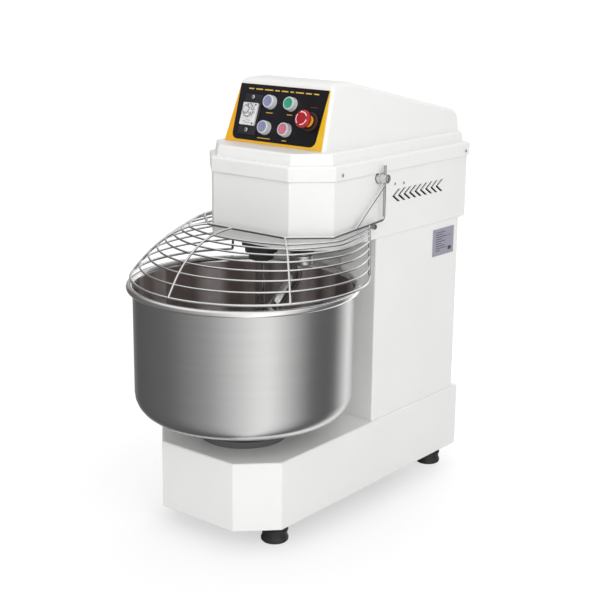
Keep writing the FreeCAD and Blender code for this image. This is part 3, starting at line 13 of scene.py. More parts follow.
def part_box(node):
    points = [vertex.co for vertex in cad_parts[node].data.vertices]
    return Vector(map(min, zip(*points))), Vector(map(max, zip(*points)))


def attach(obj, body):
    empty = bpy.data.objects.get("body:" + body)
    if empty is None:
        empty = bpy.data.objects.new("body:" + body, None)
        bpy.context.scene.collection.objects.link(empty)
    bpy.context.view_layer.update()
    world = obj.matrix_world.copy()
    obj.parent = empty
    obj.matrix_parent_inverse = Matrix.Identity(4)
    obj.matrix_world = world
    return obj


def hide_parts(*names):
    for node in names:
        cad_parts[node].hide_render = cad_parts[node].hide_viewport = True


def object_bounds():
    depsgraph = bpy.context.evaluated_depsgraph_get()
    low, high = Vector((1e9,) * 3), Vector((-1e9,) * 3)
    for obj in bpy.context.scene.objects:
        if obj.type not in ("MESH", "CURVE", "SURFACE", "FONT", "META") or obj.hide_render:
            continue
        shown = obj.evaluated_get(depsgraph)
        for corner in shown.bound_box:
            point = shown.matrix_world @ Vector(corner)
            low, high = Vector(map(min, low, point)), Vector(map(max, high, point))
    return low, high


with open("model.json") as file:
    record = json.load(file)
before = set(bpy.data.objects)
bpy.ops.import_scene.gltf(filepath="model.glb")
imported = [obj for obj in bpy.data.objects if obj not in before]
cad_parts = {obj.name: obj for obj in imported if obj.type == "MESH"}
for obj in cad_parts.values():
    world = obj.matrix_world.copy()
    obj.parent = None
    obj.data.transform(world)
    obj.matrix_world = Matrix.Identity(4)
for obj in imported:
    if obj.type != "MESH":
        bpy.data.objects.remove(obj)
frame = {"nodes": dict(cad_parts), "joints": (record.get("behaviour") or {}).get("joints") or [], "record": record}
CAD_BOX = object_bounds()
MM = 0.001
RECORD = frame["record"]
JOINTS = {joint["name"]: joint for joint in frame["joints"]}


# ---------------------------------------------------------------- materials

class Surface:
    """A node material round one Principled shader, with short calls for the textures that feed it."""

    def __init__(self, name, roughness, metallic=0.0, **sockets):
        self.material = bpy.data.materials.new(name)
        self.material.use_nodes = True
        self.nodes = self.material.node_tree.nodes
        self.shader = next(node for node in self.nodes if node.type == "BSDF_PRINCIPLED")
        self.place = self.node("ShaderNodeTexCoord").outputs["Object"]
        self.shader.inputs["Roughness"].default_value = roughness
        self.shader.inputs["Metallic"].default_value = metallic
        for socket, value in sockets.items():
            self.shader.inputs[socket.replace("_", " ")].default_value = value

    @classmethod
    def of(cls, material):
        """Takes up a finished material again, to build on it."""
        s = cls.__new__(cls)
        s.material, s.nodes = material, material.node_tree.nodes
        s.shader = next(node for node in s.nodes if node.type == "BSDF_PRINCIPLED")
        s.place = next(node for node in s.nodes if node.type == "TEX_COORD").outputs["Object"]
        return s

    def source(self, name):
        return self.shader.inputs[name].links[0].from_socket

    def node(self, kind, **settings):
        made = self.nodes.new(kind)
        for key, value in settings.items():
            setattr(made, key, value)
        return made

    def feed(self, socket, source):
        """Links a source to a socket, or sets the socket when the source is a plain value."""
        if isinstance(source, bpy.types.NodeSocket):
            self.material.node_tree.links.new(source, socket)
        else:
            socket.default_value = source

    def set(self, name, source):
        self.feed(self.shader.inputs[name], source)

    def math(self, operation, first, second=0.0):
        made = self.node("ShaderNodeMath", operation=operation)
        self.feed(made.inputs[0], first)
        self.feed(made.inputs[1], second)
        return made.outputs[0]

    def stretch(self, vector, factors):
        made = self.node("ShaderNodeVectorMath", operation="MULTIPLY")
        self.feed(made.inputs[0], vector)
        made.inputs[1].default_value = factors
        return made.outputs[0]

    def noise(self, size, detail=2.0, vector=None, stretch=None):
        """Noise from 0 to 1 with features of about one size, in metres."""
        vector = vector or self.place
        if stretch:
            vector = self.stretch(vector, stretch)
        made = self.node("ShaderNodeTexNoise")
        self.feed(made.inputs["Vector"], vector)
        made.inputs["Scale"].default_value = 1 / size
        made.inputs["Detail"].default_value = detail
        return made.outputs[0]

    def spread(self, source, low, high, start=0.3, end=0.7):
        """Maps a source from start..end to low..high."""
        made = self.node("ShaderNodeMapRange")
        self.feed(made.inputs["Value"], source)
        for socket, value in zip(("From Min", "From Max", "To Min", "To Max"), (start, end, low, high)):
            made.inputs[socket].default_value = value
        return made.outputs[0]

    def blend(self, factor, first, second):
        made = self.node("ShaderNodeMix", data_type="RGBA")
        self.feed(made.inputs[0], factor)
        self.feed(made.inputs[6], first if isinstance(first, bpy.types.NodeSocket) else opaque(first))
        self.feed(made.inputs[7], second if isinstance(second, bpy.types.NodeSocket) else opaque(second))
        return made.outputs[2]

    def bump(self, height, depth, normal=None):
        made = self.node("ShaderNodeBump")
        made.inputs["Strength"].default_value = 1
        made.inputs["Distance"].default_value = depth
        self.feed(made.inputs["Height"], height)
        if normal:
            self.feed(made.inputs["Normal"], normal)
        return made.outputs[0]

    def soft_edges(self, radius):
        made = self.node("ShaderNodeBevel", samples=4)
        made.inputs["Radius"].default_value = radius
        return made.outputs[0]

    def edge(self, radius):
        """0 on flat ground and up to 1 on edges."""
        dot = self.node("ShaderNodeVectorMath", operation="DOT_PRODUCT")
        self.feed(dot.inputs[0], self.soft_edges(radius))
        self.feed(dot.inputs[1], self.node("ShaderNodeNewGeometry").outputs["True Normal"])
        return self.spread(dot.outputs["Value"], 1.0, 0.0, 0.75, 0.98)

    def round_place(self, centre, turns, across):
        """Coordinates that run round a vertical axis, for lines left by spinning: angle, radius, height."""
        shifted = self.node("ShaderNodeVectorMath", operation="SUBTRACT")
        self.feed(shifted.inputs[0], self.place)
        shifted.inputs[1].default_value = centre
        parts = self.node("ShaderNodeSeparateXYZ")
        self.feed(parts.inputs[0], shifted.outputs[0])
        x, y, z = parts.outputs
        radius = self.math("SQRT", self.math("ADD", self.math("MULTIPLY", x, x), self.math("MULTIPLY", y, y)))
        angle = self.math("MULTIPLY", self.math("ARCTAN2", y, x), turns)
        joined = self.node("ShaderNodeCombineXYZ")
        self.feed(joined.inputs[0], angle)
        self.feed(joined.inputs[1], self.math("MULTIPLY", radius, across))
        self.feed(joined.inputs[2], self.math("MULTIPLY", z, across))
        return joined.outputs[0]


def opaque(colour):
    return (*colour[:3], 1.0)


def shade(colour, factor):
    return tuple(min(1.0, channel * factor) for channel in colour[:3])


def painted(name, colour, roughness=0.36, peel=1.1 * MM, depth=0.035 * MM, wear=0.5, worn=(0.75, 0.75, 0.74)):
    """Powder coat: orange peel, faint unevenness of colour and gloss, edges that are a little rubbed."""
    s = Surface(name, roughness)
    cloud = s.noise(0.16, 3)
    s.set("Roughness", s.spread(s.noise(0.03, 4), roughness - 0.05, roughness + 0.07))
    tone = s.blend(s.spread(cloud, 0, 1), shade(colour, 0.975), colour)
    rubbed = s.math("MULTIPLY", s.edge(1.2 * MM), s.spread(s.noise(9 * MM, 4), 0, wear, 0.45, 0.75))
    s.set("Base Color", s.blend(rubbed, tone, worn))
    s.set("Normal", s.bump(s.noise(peel, 2), depth, s.soft_edges(1.6 * MM)))
    s.set("Coat Weight", 0.12)
    return s.material


def moulded(name, colour, roughness=0.3, grain=0.45 * MM, depth=0.012 * MM, waves=0.0, coat=0.25, mottle=0.96):
    """Moulded plastic: fine grain, a slow waviness, and slightly uneven gloss."""
    s = Surface(name, roughness)
    s.set("Base Color", s.blend(s.spread(s.noise(0.05, 3), 0, 1), shade(colour, mottle), colour))
    s.set("Roughness", s.spread(s.noise(0.012, 4), roughness - 0.05, roughness + 0.08))
    normal = s.soft_edges(0.8 * MM)
    if waves:
        normal = s.bump(s.noise(0.11, 1), waves, normal)
    s.set("Normal", s.bump(s.noise(grain, 2), depth, normal))
    s.set("Coat Weight", coat)
    s.set("Coat Roughness", 0.15)
    return s.material


def spun(name, colour, roughness, centre, lines=0.55 * MM, depth=0.008 * MM, drift=0.05, tone=0.9):
    """Metal with fine lines that run round a vertical axis, from spinning or turning."""
    s = Surface(name, roughness, 1.0)
    ring = s.round_place(centre, 0.012, 1.0)
    fine = s.noise(lines, 3, ring)
    broad = s.noise(14 * MM, 2, ring)
    mixed = s.math("ADD", s.math("MULTIPLY", fine, 0.6), s.math("MULTIPLY", broad, 0.4))
    s.set("Roughness", s.spread(mixed, roughness - drift, roughness + drift))
    s.set("Base Color", s.blend(s.spread(broad, 0, 1), shade(colour, tone), colour))
    s.set("Anisotropic", 0.6)
    tangent = s.node("ShaderNodeTangent", direction_type="RADIAL", axis="Z")
    s.set("Tangent", tangent.outputs[0])
    s.set("Normal", s.bump(fine, depth, s.soft_edges(0.5 * MM)))
    return s.material


def bowl_steel(name, colour, roughness, centre):
    """Spun stainless outside; inside it is matter, with a painted reflection in its colour: warmer, in broad
    upright light and dark bands.
    """
    material = spun(name, colour, roughness, centre, 0.7 * MM, 0.003 * MM, 0.02, 0.97)
    s = Surface.of(material)
    away = s.node("ShaderNodeVectorMath", operation="SUBTRACT")
    s.feed(away.inputs[0], s.place)
    away.inputs[1].default_value = centre
    level = s.stretch(away.outputs[0], (1, 1, 0))
    facing = s.node("ShaderNodeVectorMath", operation="DOT_PRODUCT")
    s.feed(facing.inputs[0], level)
    s.feed(facing.inputs[1], s.node("ShaderNodeNewGeometry").outputs["True Normal"])
    inside = s.spread(facing.outputs["Value"], 0, 1, -0.02, -0.12)
    # painted reflection: light and dark upright bands and a brownish tone in the inside's base colour
    painted_reflection_bands = s.noise(0.16, 2, s.round_place(centre, 0.35, 0.02))
    painted_reflection_colour = s.blend(s.spread(painted_reflection_bands, 0, 1, 0.44, 0.58), (0.32, 0.265, 0.26), (0.86, 0.81, 0.80))
    s.set("Metallic", s.spread(inside, 1, 0.72, 0, 1))
    s.set("Base Color", s.blend(inside, s.source("Base Color"), painted_reflection_colour))
    s.set("Roughness", s.spread(inside, roughness, 0.42, 0, 1))
    return material


def metal(name, colour, roughness, scratches=3 * MM, depth=0.006 * MM, stain=0.86, grain=None):
    """Polished or plated metal: fine scratches, drifting gloss and a trace of darker staining."""
    s = Surface(name, roughness, 1.0)
    drift = s.noise(0.02, 4)
    marks = s.noise(scratches, 4, stretch=grain or (1, 1, 6))
    s.set("Base Color", s.blend(s.spread(drift, 0, 1), shade(colour, stain), colour))
    s.set("Roughness", s.spread(marks, max(0.03, roughness - 0.05), roughness + 0.05))
    s.set("Normal", s.bump(marks, depth, s.soft_edges(0.4 * MM)))
    return s.material


def wire_steel(name, colour, painted_shade_colour, roughness):
    """Polished wire with painted shade: its base colour goes dark on the faces that look down, in place of a dark
    reflection.
    """
    material = metal(name, colour, roughness, 2 * MM, 0.002 * MM, 0.93)
    s = Surface.of(material)
    facing = s.node("ShaderNodeSeparateXYZ")
    s.feed(facing.inputs[0], s.node("ShaderNodeNewGeometry").outputs["Normal"])
    # painted shade: dark colour on downward faces, the wire's own colour on upward faces
    painted_shade_mix = s.spread(facing.outputs[2], 0, 1, -0.3, 0.5)
    s.set("Base Color", s.blend(painted_shade_mix, painted_shade_colour, s.source("Base Color")))
    return material


def cast(name, colour, roughness=0.55, pits=1.8 * MM, depth=0.16 * MM):
    """Painted casting: coarse skin, matt, with bare bright rubs on its edges."""
    s = Surface(name, roughness)
    skin = s.noise(pits, 5)
    rubbed = s.math("MULTIPLY", s.edge(1.0 * MM), 0.35)
    tone = s.blend(s.spread(skin, 0, 1), shade(colour, 0.75), colour)
    s.set("Base Color", s.blend(rubbed, tone, (0.45, 0.45, 0.45)))
    s.set("Roughness", s.spread(s.noise(6 * MM, 4), roughness - 0.1, roughness + 0.12))
    s.set("Normal", s.bump(skin, depth, s.soft_edges(0.8 * MM)))
    return s.material


def rubber(name, colour=(0.018, 0.018, 0.018), roughness=0.6):
    """Rubber: fine pebble grain, with pale dust on the faces that look up."""
    s = Surface(name, roughness)
    facing = s.node("ShaderNodeSeparateXYZ")
    s.feed(facing.inputs[0], s.node("ShaderNodeNewGeometry").outputs["Normal"])
    dust = s.math("MULTIPLY", s.spread(facing.outputs[2], 0, 0.12, 0.2, 1.0), s.noise(5 * MM, 4))
    s.set("Base Color", s.blend(dust, colour, (0.35, 0.34, 0.32)))
    s.set("Roughness", s.spread(s.noise(4 * MM, 3), roughness - 0.12, roughness + 0.1))
    s.set("Normal", s.bump(s.noise(0.6 * MM, 2), 0.03 * MM, s.soft_edges(0.6 * MM)))
    return s.material


def belt(name):
    """Belt rubber with a fabric face: a fine cross weave."""
    s = Surface(name, 0.7)
    weave = s.math("MULTIPLY", s.noise(0.9 * MM, 1, stretch=(1, 1, 5)), s.noise(0.9 * MM, 1, stretch=(5, 5, 1)))
    s.set("Base Color", s.blend(s.spread(weave, 0, 1, 0.1, 0.4), (0.015, 0.015, 0.016), (0.05, 0.05, 0.052)))
    s.set("Normal", s.bump(weave, 0.1 * MM))
    return s.material


def clear(name):
    """Clear acrylic of a dial knob, with a faint frosting that drifts."""
    s = Surface(name, 0.08, Transmission_Weight=0.85, IOR=1.49)
    s.set("Base Color", s.blend(s.noise(6 * MM, 3), (0.78, 0.80, 0.82), (0.93, 0.94, 0.95)))
    s.set("Roughness", s.spread(s.noise(3 * MM, 4), 0.04, 0.2))
    s.set("Normal", s.bump(s.noise(2 * MM, 2), 0.01 * MM))
    return s.material


def lens(name, colour, centre):
    """Coloured push-button lens: a painted glow, its colour lighter away from the middle and clouded at random,
    and faint moulded rings.
    """
    s = Surface(name, 0.28, Coat_Weight=0.6, Coat_Roughness=0.08)
    away = s.node("ShaderNodeVectorMath", operation="DISTANCE")
    s.feed(away.inputs[0], s.place)
    away.inputs[1].default_value = centre
    reach = away.outputs["Value"]
    rings = s.math("SINE", s.math("MULTIPLY", reach, 4200))
    painted_glow_and_cloud = s.math("ADD", s.math("MULTIPLY", reach, 45), s.math("MULTIPLY", s.noise(3 * MM, 3), 0.4))
    # painted glow: the base colour lightens with distance from the lens's middle, plus random clouding
    s.set("Base Color", s.blend(s.spread(painted_glow_and_cloud, 0, 1, 0.2, 0.8), shade(colour, 0.8), shade(colour, 1.25)))
    s.set("Roughness", s.spread(s.noise(2 * MM, 3), 0.2, 0.38))
    s.set("Normal", s.bump(s.math("ADD", rings, s.noise(0.5 * MM, 2)), 0.01 * MM))
    return s.material


def printed(name, colour, edge_colour, roughness=0.3, shine=0.5):
    """Screen-printed film: fine emboss, ink density that drifts from one side to the other."""
    s = Surface(name, roughness, Specular_IOR_Level=shine, Coat_Weight=shine * 0.4, Coat_Roughness=0.2)
    parts = s.node("ShaderNodeSeparateXYZ")
    s.feed(parts.inputs[0], s.place)
    slide = s.math("ADD", s.spread(parts.outputs[0], 0, 1, -0.14, 0.14), s.spread(s.noise(0.03, 3), -0.25, 0.25))
    s.set("Base Color", s.blend(slide, edge_colour, colour))
    s.set("Roughness", s.spread(s.noise(2.5 * MM, 4), roughness - 0.05, roughness + 0.08))
    s.set("Normal", s.bump(s.noise(0.35 * MM, 1), 0.012 * MM))
    return s.material


def anodised(name, colour):
    """Anodised sheet with straight brushing along its length."""
    s = Surface(name, 0.34, 0.35)
    grain = s.noise(0.5 * MM, 3, stretch=(1, 0.03, 1))
    s.set("Base Color", s.blend(s.spread(grain, 0, 1), shade(colour, 0.88), colour))
    s.set("Roughness", s.spread(grain, 0.28, 0.45))
    s.set("Normal", s.bump(grain, 0.01 * MM))
    return s.material


def middle(node):
    low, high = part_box(node)
    return (low + high) / 2


BOWL_AXIS = middle("bowl_spindle")
WHITE = (0.85, 0.85, 0.84)
STEEL = (0.60, 0.60, 0.595)
FINISHES = {
    "white_paint": painted("powder_coat_white", WHITE),
    "white_moulding": moulded("moulded_cover_white", WHITE, 0.42, 3 * MM, 0.004 * MM, 0.25 * MM, 0.1, 0.985),
    "frame_paint": painted("primer_grey", (0.12, 0.125, 0.13), 0.55, 0.8 * MM, 0.06 * MM, 0.6, (0.4, 0.4, 0.4)),
    "foot_rubber": rubber("black_rubber"),
    "zinc_steel": metal("zinc_plated_steel", (0.74, 0.74, 0.72), 0.24, 1.5 * MM),
    "stainless": bowl_steel("spun_stainless", (0.595, 0.593, 0.59), 0.23, BOWL_AXIS),
    # the wire's second colour is the painted shade on its undersides
    "guard_wire": wire_steel("polished_wire", (0.86, 0.855, 0.85), (0.22, 0.22, 0.225), 0.06),
    "tool_steel": metal("polished_tool_steel", (0.68, 0.67, 0.66), 0.13, 2.5 * MM, 0.003 * MM, 0.9),
    "dark_steel": cast("black_oxide_steel", (0.05, 0.05, 0.052), 0.42, 0.8 * MM, 0.05 * MM),
    "machined_steel": spun("turned_steel", STEEL, 0.3, (0, 0, 0), 0.4 * MM),
    "castings": cast("grey_casting", (0.16, 0.165, 0.17)),
    "pulley_metal": spun("turned_aluminium", (0.74, 0.74, 0.75), 0.32, (0, 0, 0), 0.5 * MM),
    "belt_rubber": belt("drive_belt_rubber"),
    "panel_face": printed("panel_amber_ink", (0.82, 0.50, 0.02), (0.86, 0.40, 0.008), 0.34, 0.3),
    "bezel_grey": moulded("bezel_satin_grey", (0.66, 0.68, 0.69), 0.24, 0.3 * MM, 0.006 * MM, 0, 0.5),
    "lens_violet": lens("lens_violet", (0.19, 0.20, 0.33), middle("light_button")),
    "lens_green": lens("lens_green", (0.02, 0.26, 0.16), middle("green_start_button")),
    "lens_red": lens("lens_red", (0.46, 0.13, 0.18), middle("red_stop_button")),
    "stop_red": moulded("mushroom_red", (0.42, 0.004, 0.012), 0.28, 0.4 * MM, 0.006 * MM, 0, 0.15, 0.85),
    "stop_yellow": moulded("collar_yellow", (0.80, 0.42, 0.02), 0.38),
    "black_plastic": moulded("black_plastic", (0.022, 0.022, 0.025), 0.42, 0.5 * MM, 0.03 * MM, 0, 0.1, 0.8),
    "timer_face": moulded("timer_white", (0.78, 0.78, 0.77), 0.32, 0.4 * MM, 0.006 * MM, 0, 0.3),
    "knob_clear": clear("clear_acrylic"),
    "plate_metal": anodised("anodised_lilac", (0.47, 0.455, 0.55)),
}
FINISHES["lens_jog"] = lens("lens_jog_violet", (0.19, 0.20, 0.33), middle("jog_button"))
FINISHES["rim_chrome"] = metal("polished_rim", (0.88, 0.87, 0.86), 0.09, 3 * MM, 0.002 * MM, 0.95)
FINISHES["stop_pin_steel"] = metal("stop_pin_steel", (0.36, 0.36, 0.365), 0.28)
INK = {
    "black": printed("panel_black_film", (0.008, 0.008, 0.010), (0.014, 0.013, 0.019), 0.36, 0.22),
    "white": moulded("white_ink", (0.80, 0.79, 0.75), 0.5),
    "amber": moulded("amber_ink", (0.75, 0.45, 0.06), 0.5),
    "dark": moulded("dark_ink", (0.06, 0.06, 0.09), 0.5),
    "stop_base": moulded("stop_base_oxblood", (0.035, 0.002, 0.003), 0.5, 0.5 * MM, 0.02 * MM, 0, 0, 0.6),
    "red": moulded("dark_red_ink", (0.16, 0.008, 0.012), 0.5),
}


def finish_cad_nodes():
    for part in RECORD["subparts"]:
        slots = frame["nodes"][part["node"]].data.materials
        slots.clear()
        slots.append(FINISHES[part["material_slot"]])


# ---------------------------------------------------------------- mesh building

def piece(name, mesh, body, slot, material=None, replaces=(), sharp=32):
    """Links a mesh as a piece of the object: named, finished, smooth between sharp edges, riding on its body."""
    mesh.materials.clear()
    mesh.materials.append(material or FINISHES[slot])
    mesh.shade_smooth()
    mesh.set_sharp_from_angle(angle=math.radians(sharp))
    made = bpy.data.objects.new(name, mesh)
    bpy.context.scene.collection.objects.link(made)
    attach(made, body)
    if replaces:
        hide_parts(*replaces)
    return made


def mesh_from(name, points, faces, matrix=None):
    mesh = bpy.data.meshes.new(name)
    mesh.from_pydata([tuple(p) for p in points], [], faces)
    work = bmesh.new()
    work.from_mesh(mesh)
    bmesh.ops.remove_doubles(work, verts=work.verts, dist=1e-7)
    bmesh.ops.recalc_face_normals(work, faces=work.faces)
    if matrix:
        bmesh.ops.transform(work, matrix=matrix, verts=work.verts)
    work.to_mesh(mesh)
    work.free()
    return mesh


def joined(name, meshes):
    work = bmesh.new()
    for mesh in meshes:
        work.from_mesh(mesh)
        bpy.data.meshes.remove(mesh)
    whole = bpy.data.meshes.new(name)
    work.to_mesh(whole)
    work.free()
    return whole


def arc(centre, radius, start, end, steps):
    """Points on an arc in a profile's plane; angles in degrees."""
    angles = [math.radians(start + (end - start) * step / steps) for step in range(steps + 1)]
    return [(centre[0] + radius * math.cos(a), centre[1] + radius * math.sin(a)) for a in angles]


def filleted(profile, steps=6):
    """Turns each (u, v, radius) corner of a closed outline into an arc; plain (u, v) corners stay."""
    points = []
    for index, corner in enumerate(profile):
        here = Vector(corner[:2])
        if len(corner) == 2:
            points.append(here)
            continue
        back = (Vector(profile[index - 1][:2]) - here).normalized()
        ahead = (Vector(profile[(index + 1) % len(profile)][:2]) - here).normalized()
        half = back.angle(ahead) / 2
        centre = here + (back + ahead).normalized() * (corner[2] / math.sin(half))
        start = here + back * (corner[2] / math.tan(half)) - centre
        end = here + ahead * (corner[2] / math.tan(half)) - centre
        turn = math.atan2(start.x * end.y - start.y * end.x, start.dot(end))
        for step in range(steps + 1):
            points.append(centre + Matrix.Rotation(turn * step / steps, 2) @ start)
    return points


def lathe(name, profile, matrix, steps=72):
    """A turned piece: (radius, height) corners in millimetres, revolved about its own Z."""
    corners = filleted(profile)
    rings = len(corners)
    points, faces = [], []
    for step in range(steps):
        angle = 2 * math.pi * step / steps
        for radius, height in corners:
            points.append(Vector((radius * math.cos(angle), radius * math.sin(angle), height)) * MM)
    for step in range(steps):
        here, after = step * rings, (step + 1) % steps * rings
        for ring in range(rings):
            up = (ring + 1) % rings
            if max(corners[ring][0], corners[up][0]) < 1e-6:
                continue
            face = [here + ring, after + ring, after + up, here + up]
            if corners[ring][0] < 1e-6:
                face = [here + ring, after + up, here + up]
            elif corners[up][0] < 1e-6:
                face = [here + ring, after + ring, here + up]
            faces.append(face)
    return mesh_from(name, points, faces, matrix)


def plate(name, outline, thickness, matrix, holes=(), bevel=0.0):
    """A flat piece in its own XY plane, in millimetres, with holes and a rounded top edge."""
    curve = bpy.data.curves.new(name, "CURVE")
    curve.dimensions = "2D"
    curve.fill_mode = "BOTH"
    curve.extrude = (thickness / 2 - bevel) * MM
    curve.bevel_depth = bevel * MM
    curve.bevel_resolution = 2
    curve.offset = -bevel * MM
    for loop in [outline, *holes]:
        spline = curve.splines.new("POLY")
        spline.points.add(len(loop) - 1)
        for point, corner in zip(spline.points, loop):
            point.co = (corner[0] * MM, corner[1] * MM, 0, 1)
        spline.use_cyclic_u = True
    made = bpy.data.objects.new(name, curve)
    bpy.context.scene.collection.objects.link(made)
    bpy.context.view_layer.update()
    mesh = bpy.data.meshes.new_from_object(made.evaluated_get(bpy.context.evaluated_depsgraph_get()))
    bpy.data.objects.remove(made)
    work = bmesh.new()
    work.from_mesh(mesh)
    bmesh.ops.remove_doubles(work, verts=work.verts, dist=1e-6)
    bmesh.ops.transform(work, matrix=matrix @ Matrix.Translation((0, 0, thickness / 2 * MM)), verts=work.verts)
    work.to_mesh(mesh)
    work.free()
    return mesh


def circle(radius, centre=(0, 0), steps=64):
    return [(centre[0] + radius * math.cos(2 * math.pi * k / steps),
             centre[1] + radius * math.sin(2 * math.pi * k / steps)) for k in range(steps)]


def rectangle(width, height, centre=(0, 0), radius=0.0):
    corners = [(sx * width / 2 + centre[0], sy * height / 2 + centre[1])
               for sx, sy in ((-1, -1), (1, -1), (1, 1), (-1, 1))]
    return filleted([(*corner, radius) for corner in corners]) if radius else corners


def islands(node, gap=0.05 * MM):
    """The lowest and highest corners of each separate solid in a node, from its mesh."""
    work = bmesh.new()
    work.from_mesh(frame["nodes"][node].data)
    bmesh.ops.remove_doubles(work, verts=work.verts, dist=gap)
    seen, boxes = set(), []
    for first in work.verts:
        if first.index in seen:
            continue
        seen.add(first.index)
        queue, members = [first], []
        while queue:
            vert = queue.pop()
            members.append(vert.co.copy())
            for edge in vert.link_edges:
                other = edge.other_vert(vert)
                if other.index not in seen:
                    seen.add(other.index)
                    queue.append(other)
        low = Vector(min(p[axis] for p in members) for axis in range(3))
        high = Vector(max(p[axis] for p in members) for axis in range(3))
        boxes.append((low, high))
    work.free()
    return boxes


def upright(x, y, z):
    return Matrix.Translation((x, y, z))


def along(point, axis):
    """A frame at a point whose Z runs along an axis."""
    return Matrix.Translation(point) @ Vector(axis).to_track_quat("Z", "Y").to_matrix().to_4x4()


# ---------------------------------------------------------------- bowl

def make_bowl():
    """The spun pressing, open at the top, and the rolled rim as a bright ring of its own."""
    low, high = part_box("bowl")
    rim = (high.y - low.y) / 2 / MM
    height = (high.z - low.z) / MM
    bead, sheet, corner = 7.0, 2.5, 50
    wall = rim - 13.6
    inner = wall - sheet
    under = height - bead - 4.5
    profile = [(0, 0), (wall, 0, corner), (wall, under), (inner, under), (inner, sheet, corner - sheet),
               (0, sheet)]
    place = upright(BOWL_AXIS.x, BOWL_AXIS.y, low.z)
    piece("bowl_pressing", lathe("bowl_pressing", profile, place, 224), "bowl", "stainless", replaces=["bowl"],
          sharp=40)
    centre = (rim - bead, height - bead)
    lip = [(inner + 0.3, under - 3), (wall - 0.3, under - 3)]
    roll = arc(centre, bead, -150, 160, 30) + [(inner + 0.3, height - bead)]
    piece("bowl_rolled_rim", lathe("bowl_rolled_rim", lip + roll, place, 224), "bowl", "stainless",
          FINISHES["rim_chrome"], sharp=60)


# ---------------------------------------------------------------- control panel

def panel_frame():
    """Origin at the lower middle of the panel's face, X across, Y up the slope, Z out of the face."""
    low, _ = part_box("control_panel")
    out = -Vector(JOINTS["jog_button_press"]["axis"]).normalized()
    across = Vector((1, 0, 0))
    up = out.cross(across)
    origin = Vector((0, low.y, low.z + 2 * MM * out.z))
    matrix = Matrix((across, up, out)).transposed().to_4x4()
    matrix.translation = origin
    return matrix


PANEL = panel_frame()
PANEL_TAPER = 11.7 / 130.2  # how far each side leans in over the panel's length
MARK_LIFT = 0.6  # height of the printed marks above the panel's face


def on_panel(node):
    """A node's place on the panel: across, up and out, in millimetres."""
    return PANEL.inverted() @ middle(node) / MM


def panel_at(u, v, w=0.0):
    return PANEL @ Matrix.Translation((u * MM, v * MM, w * MM))


def panel_holes(margin):
    holes = [circle(11.4 + margin, on_panel(node)[:2])
             for node in ("light_button", "green_start_button", "jog_button", "red_stop_button", "stop_mushroom")]
    holes.append(rectangle(38 + margin, 45 + margin, on_panel("timer_body")[:2]))
    return holes


def make_panel_print():
    """An amber film with a black field that fills it at the top and leaves a border at the foot."""
    low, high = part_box("control_panel")
    wide = (high.x - low.x) / 2 / MM
    long = (PANEL.inverted() @ Vector((0, high.y, high.z))).y / MM
    narrow = wide - long * PANEL_TAPER
    edge = 0.6
    base, head = wide - edge, narrow - edge
    border = [(-base, edge), (base, edge), (head, long - edge), (-head, long - edge)]
    mesh = plate("panel_amber_border", border, 0.25, panel_at(0, 0, 0.02), panel_holes(0.3))
    piece("panel_amber_border", mesh, "root", "panel_face")
    foot = wide - 19
    field = filleted([(-foot, 5.5, 15), (foot, 5.5, 15), (head, long - edge, 1), (-head, long - edge, 1)])
    mesh = plate("panel_black_field", field, 0.3, panel_at(0, 0, 0.26), panel_holes(0.3))
    piece("panel_black_field", mesh, "root", "panel_face", INK["black"])
    make_panel_marks(long)


def make_panel_marks(long):
    """Plain dashes where a real panel has its captions: a long row at the top, one under each button."""
    dashes = []
    gap = 5
    lengths = (15, 20, 24, 13, 19, 10, 22, 17, 14)
    start = -(sum(lengths) + gap * (len(lengths) - 1)) / 2
    for size in lengths:
        dashes.append((start + size / 2, long - 11, size, 2.8))
        start += size + gap
    captions = {"light_button": 19, "green_start_button": 15, "jog_button": 36, "red_stop_button": 13}
    for node, size in captions.items():
        u, v, _ = on_panel(node)
        dashes.append((u, v - 22.5, size, 1.8))
    meshes = [plate("dash", rectangle(size, tall, (u, v), tall * 0.45), 0.12, panel_at(0, 0, MARK_LIFT))
              for u, v, size, tall in dashes]
    piece("panel_amber_marks", joined("panel_amber_marks", meshes), "root", "panel_face", INK["amber"])
    u, v, _ = on_panel("stop_mushroom")
    mark = plate("panel_red_mark", rectangle(20, 2, (u, v + 31), 0.8), 0.12, panel_at(0, 0, MARK_LIFT))
    piece("panel_red_mark", mark, "root", "panel_face", INK["red"])


def make_buttons():
    lenses = {"light_button": "lens_violet", "green_start_button": "lens_green",
              "jog_button": "lens_jog", "red_stop_button": "lens_red"}
    bezels = []
    for node, finish in lenses.items():
        u, v, _ = on_panel(node)
        skirt = [(11.3, 0.6), (15.2, 0.6, 0.4), (15.2, 3.4, 0.5), (14.6, 4.2, 0.4), (14.4, 11.6, 0.8),
                 (13.5, 14.9, 1.2), (11.3, 14.9, 0.5)]
        bezels.append(lathe("bezel", skirt, panel_at(u, v), 72))
        cap = [(0, 9), (10.95, 9), (10.95, 14.8, 0.9), (9.8, 16.3, 0.7), (8.4, 15.7, 1.2), (4.0, 15.0, 4),
               (0, 14.9)]
        slot = "lens_violet" if finish == "lens_jog" else finish
        piece(f"{node}_cap", lathe(f"{node}_cap", cap, panel_at(u, v), 64), node, slot, FINISHES[finish], [node])
    piece("button_bezel_rings", joined("button_bezel_rings", bezels), "root", "bezel_grey",
          replaces=["button_bezels"])


